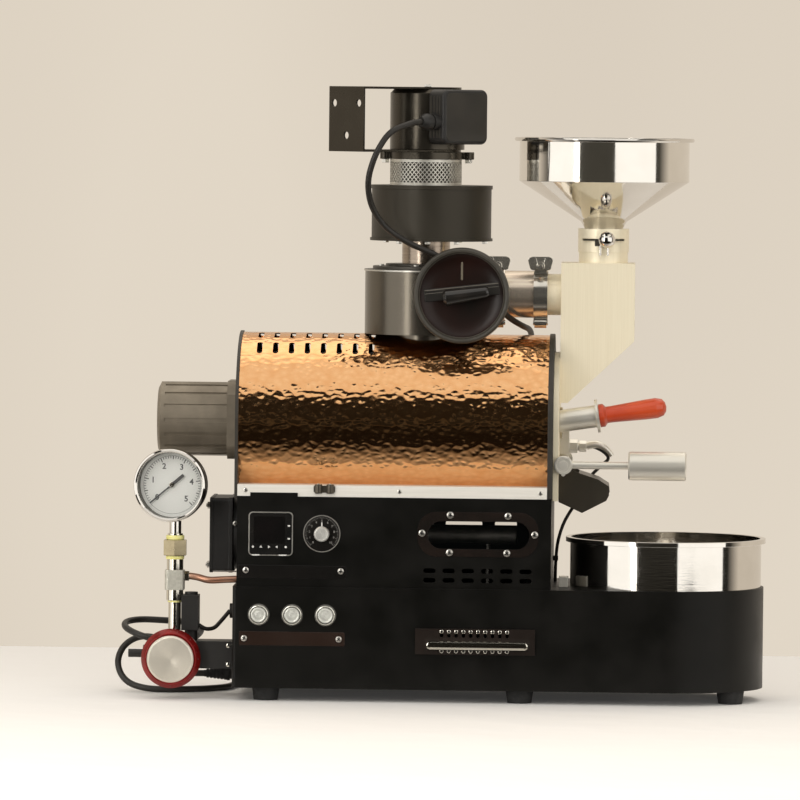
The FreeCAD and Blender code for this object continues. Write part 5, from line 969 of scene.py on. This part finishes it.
def makeBoxTrim():
    way, side = Vector(box["way"]), Vector(box["side"])
    start = Vector((tower["x"], tower["y"], 0)) + side * 51.4 - way * 32
    place = Matrix((side, up, -way)).transposed().to_4x4()
    place.translation = start
    bm = bmesh.new()
    for x, wide in ((-8.6, 1.5), (-3.4, 1.2), (1.6, 1.0), (5.4, 1.0)):
        addBlock(bm, (x - wide, box["low"] + 7, -0.6), (x + wide, box["high"] - 7, 0.55), place, edge=0.4)
    screw = start + up * box["screw"] - side * 3.2
    # a black ring round the screw is painted shade in its recess
    addLathe(bm, [(2.6, -0.2), (5.0, -0.2), (5.0, 0.8), (4.4, 1.0), (3.0, 0.6), (2.6, 0.4)], screw, -way, 32, slot=1)
    addRod(bm, 2.3, screw, -way, 0.9, steps=24, edge=0.4, slot=2)
    face = start + side * 12.02 + way * 32 + up * (box["low"] + box["high"]) / 2
    seam = Matrix((way, up, side)).transposed().to_4x4()
    seam.translation = face
    addPlate(bm, (-28.6, -26, -0.3), (28.6, 26, 0.5), 6.5, seam, edge=0.4)
    placePiece("boxTrim", bm, "machine", ["boxBlack", "recessShadeBlack", "nickelPlate"], sharp=30)


clamps = {"places": (279.4, 325.4), "y": 71.2, "z": 466.5, "wing": (9.6, 13.5), "spread": 16}


def makeClamps():
    carry("duct_clamps", "ductClamps", "clampSteel", edge=0.5)
    bm = bmesh.new()
    wide, tall = clamps["wing"]
    for x in clamps["places"]:
        for side in (-1, 1):
            flat = facing((x + side * 1.6, clamps["y"], clamps["z"]), front)
            place = flat @ Matrix.Rotation(math.radians(-side * clamps["spread"]), 4, "Z")
            addPlate(bm, (min(0, side * wide), -1, -1.4), (max(0, side * wide), tall, 1.4), 3.8, place, edge=0.8)
        addRod(bm, 4.6, (x, clamps["y"] + 2.6, 468.5), front, 7, steps=28, edge=0.8)
        addRod(bm, 2.2, (x, clamps["y"] - 4, 468.5), front, 2.4, steps=20, edge=0.5)
        addRod(bm, 2.6, (x - 8, 92, 406.5), right, 16, steps=20, edge=0.4)
    placePiece("wingNuts", bm, "machine", "clampSteel", sharp=30)


fan = {"low": (64, 134), "high": (144, 214), "flanges": ((-29, -25.2), (-8.4, -4))}


def makeFanTrim():
    (y0, z0), (y1, z1) = fan["low"], fan["high"]
    bm = bmesh.new()
    for x0, x1 in fan["flanges"]:
        place = facing((x0, 0, 0), right)
        corners = [place.inverted() @ Vector((x0, y, z)) for y, z in ((y0, z0), (y1, z1))]
        low = [min(c[k] for c in corners) - 0.7 for k in range(2)]
        high = [max(c[k] for c in corners) + 0.7 for k in range(2)]
        addPlate(bm, (*low, 0), (*high, x1 - x0), 4.5, place, edge=0.6)
    for z in (z0 + 8, z1 - 8):
        for y in (y0 + 5, y1 - 5):
            addRod(bm, 3.7, (-29, y, z), left, 2.8, steps=6, edge=0.3, slot=1)
            addRod(bm, 2.0, (-31, y, z), left, 2.2, steps=16, edge=0.3, slot=1)
    addScrew(bm, (-1.5, 63.6, 187), front, 2.6, 1.6, slot=1, cross=0)
    addBlock(bm, (-25, 63.2, 134.2), (3.6, 64.6, 135.8), edge=0.3, slot=1)
    placePiece("fanTrim", bm, "machine", ["blackPlastic", "zincPlate"], sharp=30)


probe = {"sleeve": ((376, 146, 271.5, 4.6), (384, 146, 273.6, 4.4), (393, 146, 272.0, 3.8), (400.5, 146, 266, 3.0),
                    (404, 146, 261, 2.4)), "nut": (368, 146, 271)}


def makeProbeSleeve():
    bm = bmesh.new()
    addSolid(bm, drawLine("sleeve", 1, 6, probe["sleeve"]))
    addRod(bm, 6.2, probe["nut"], right, 8, steps=6, edge=0.6)
    placePiece("probeSleeve", bm, "machine", "satinSteel", sharp=40)


catch = {"x": 97.5, "front": 3.4, "z": (223.5, 233.5), "barrel": 4.1}


def makeCatch():
    x, (z0, z1) = catch["x"], catch["z"]
    bm = bmesh.new()
    addPlate(bm, (x - 11.5, z0 + 1, -1.5), (x + 11.5, z1 - 1.5, 0.9), 1.6, facing((0, catch["front"], 0), front),
             edge=0.3)
    for side in (-1, 1):
        spot = (x + side * 6.3, catch["front"] - 0.6, z0)
        addRod(bm, catch["barrel"], spot, up, z1 - z0, steps=32, edge=0.8)
        addRod(bm, 1.5, (spot[0], spot[1], z1 - 0.3), up, 1.1, steps=16, slot=1, edge=0.2)
    placePiece("stripCatch", bm, "machine", ["spoutDark", "nickelPlate"], sharp=35)


boss = {"centre": (353, 14.6, 256.4), "pin": (353, 18, 246.6)}


def makeBoss():
    bm = bmesh.new()
    addLathe(bm, [(0, 0), (9.7, 0), (9.7, 0.5), (9.0, 1.0), (7.6, 1.0), (7.2, 0.4), (5.0, 0.4), (4.6, 0.9), (0, 1.2)],
             boss["centre"], front, 56)
    addRod(bm, 2.3, boss["pin"], front, 3, steps=6, edge=0.3)
    placePiece("leverBoss", bm, "lever", "satinSteel", sharp=30)


makeProbeSleeve()
makeCatch()
makeBoss()
makeClamps()
makeFanTrim()
makeGuard()
makeLid()
makeWheel()
makeBoxTrim()
print("the tower and the handwheel are made")

# Nodes that are shown as they are
nodeLooks = {
    "base_shell": "satinBlack", "rubber_feet": "rubber", "burner_box": "satinBlack", "gas_burners": "innerSteel",
    "saddle_strip": "satinStrip", "drum_cover": "hammeredCopper", "drum_end_plates": "castDark",
    "face_plate": "brushedUp", "roasting_drum": "darkSteel", "drum_bearings": "brushedRound",
    "drum_motor": "bronzeGrey", "side_fan_frame": "blackPlastic", "side_fan_rotor": "blackPlastic",
    "canister": "canisterBlack", "blower_housing": "blowerBlack", "blower_impeller": "turned",
    "blower_motor": "towerBlack", "blower_bracket": "towerBlack", "terminal_box": "blackPlastic",
    "exhaust_duct": "ductSteel", "feed_chute": "brushedUp", "hopper_gate": "polished", "bean_hopper": "polished",
    "wheel_handle": "gripBlack", "throttle_plate": "brushedAlong", "discharge_spout": "spoutDark",
    "discharge_lever": "satinSteel", "trier_scoop": "satinSteel", "trier_handle": "redPlastic",
    "face_fittings": "satinSteel", "bean_probe": "satinSteel", "wiring_leads": "cable", "glass_panes": "clearGlass",
    "window_frame": "glossBlack", "chaff_drawer": "drawerBlack", "cooling_tray": "polished",
    "tray_stirrer": "brushedAlong", "stirrer_motor": "innerSteel", "cooling_fan": "blackPlastic",
}
softEdge = {"bean_hopper": 0.25, "cooling_tray": 0.25, "drum_cover": 0.3, "roasting_drum": 0, "glass_panes": 0.2}
lowStrip = 90                        # the strip that ends below this height is the browner one
carry("label_plates", "labelPlates", ["plateDark", "stripBlack"], pick=lambda low, high: int(high.z < lowStrip), edge=0.2)
for nodeName, lookName in nodeLooks.items():
    words = nodeName.split("_")
    pieceName = words[0] + "".join(word.capitalize() for word in words[1:])
    carry(nodeName, pieceName, lookName, edge=softEdge.get(nodeName, 0.4))
print("every carried node has its finish")
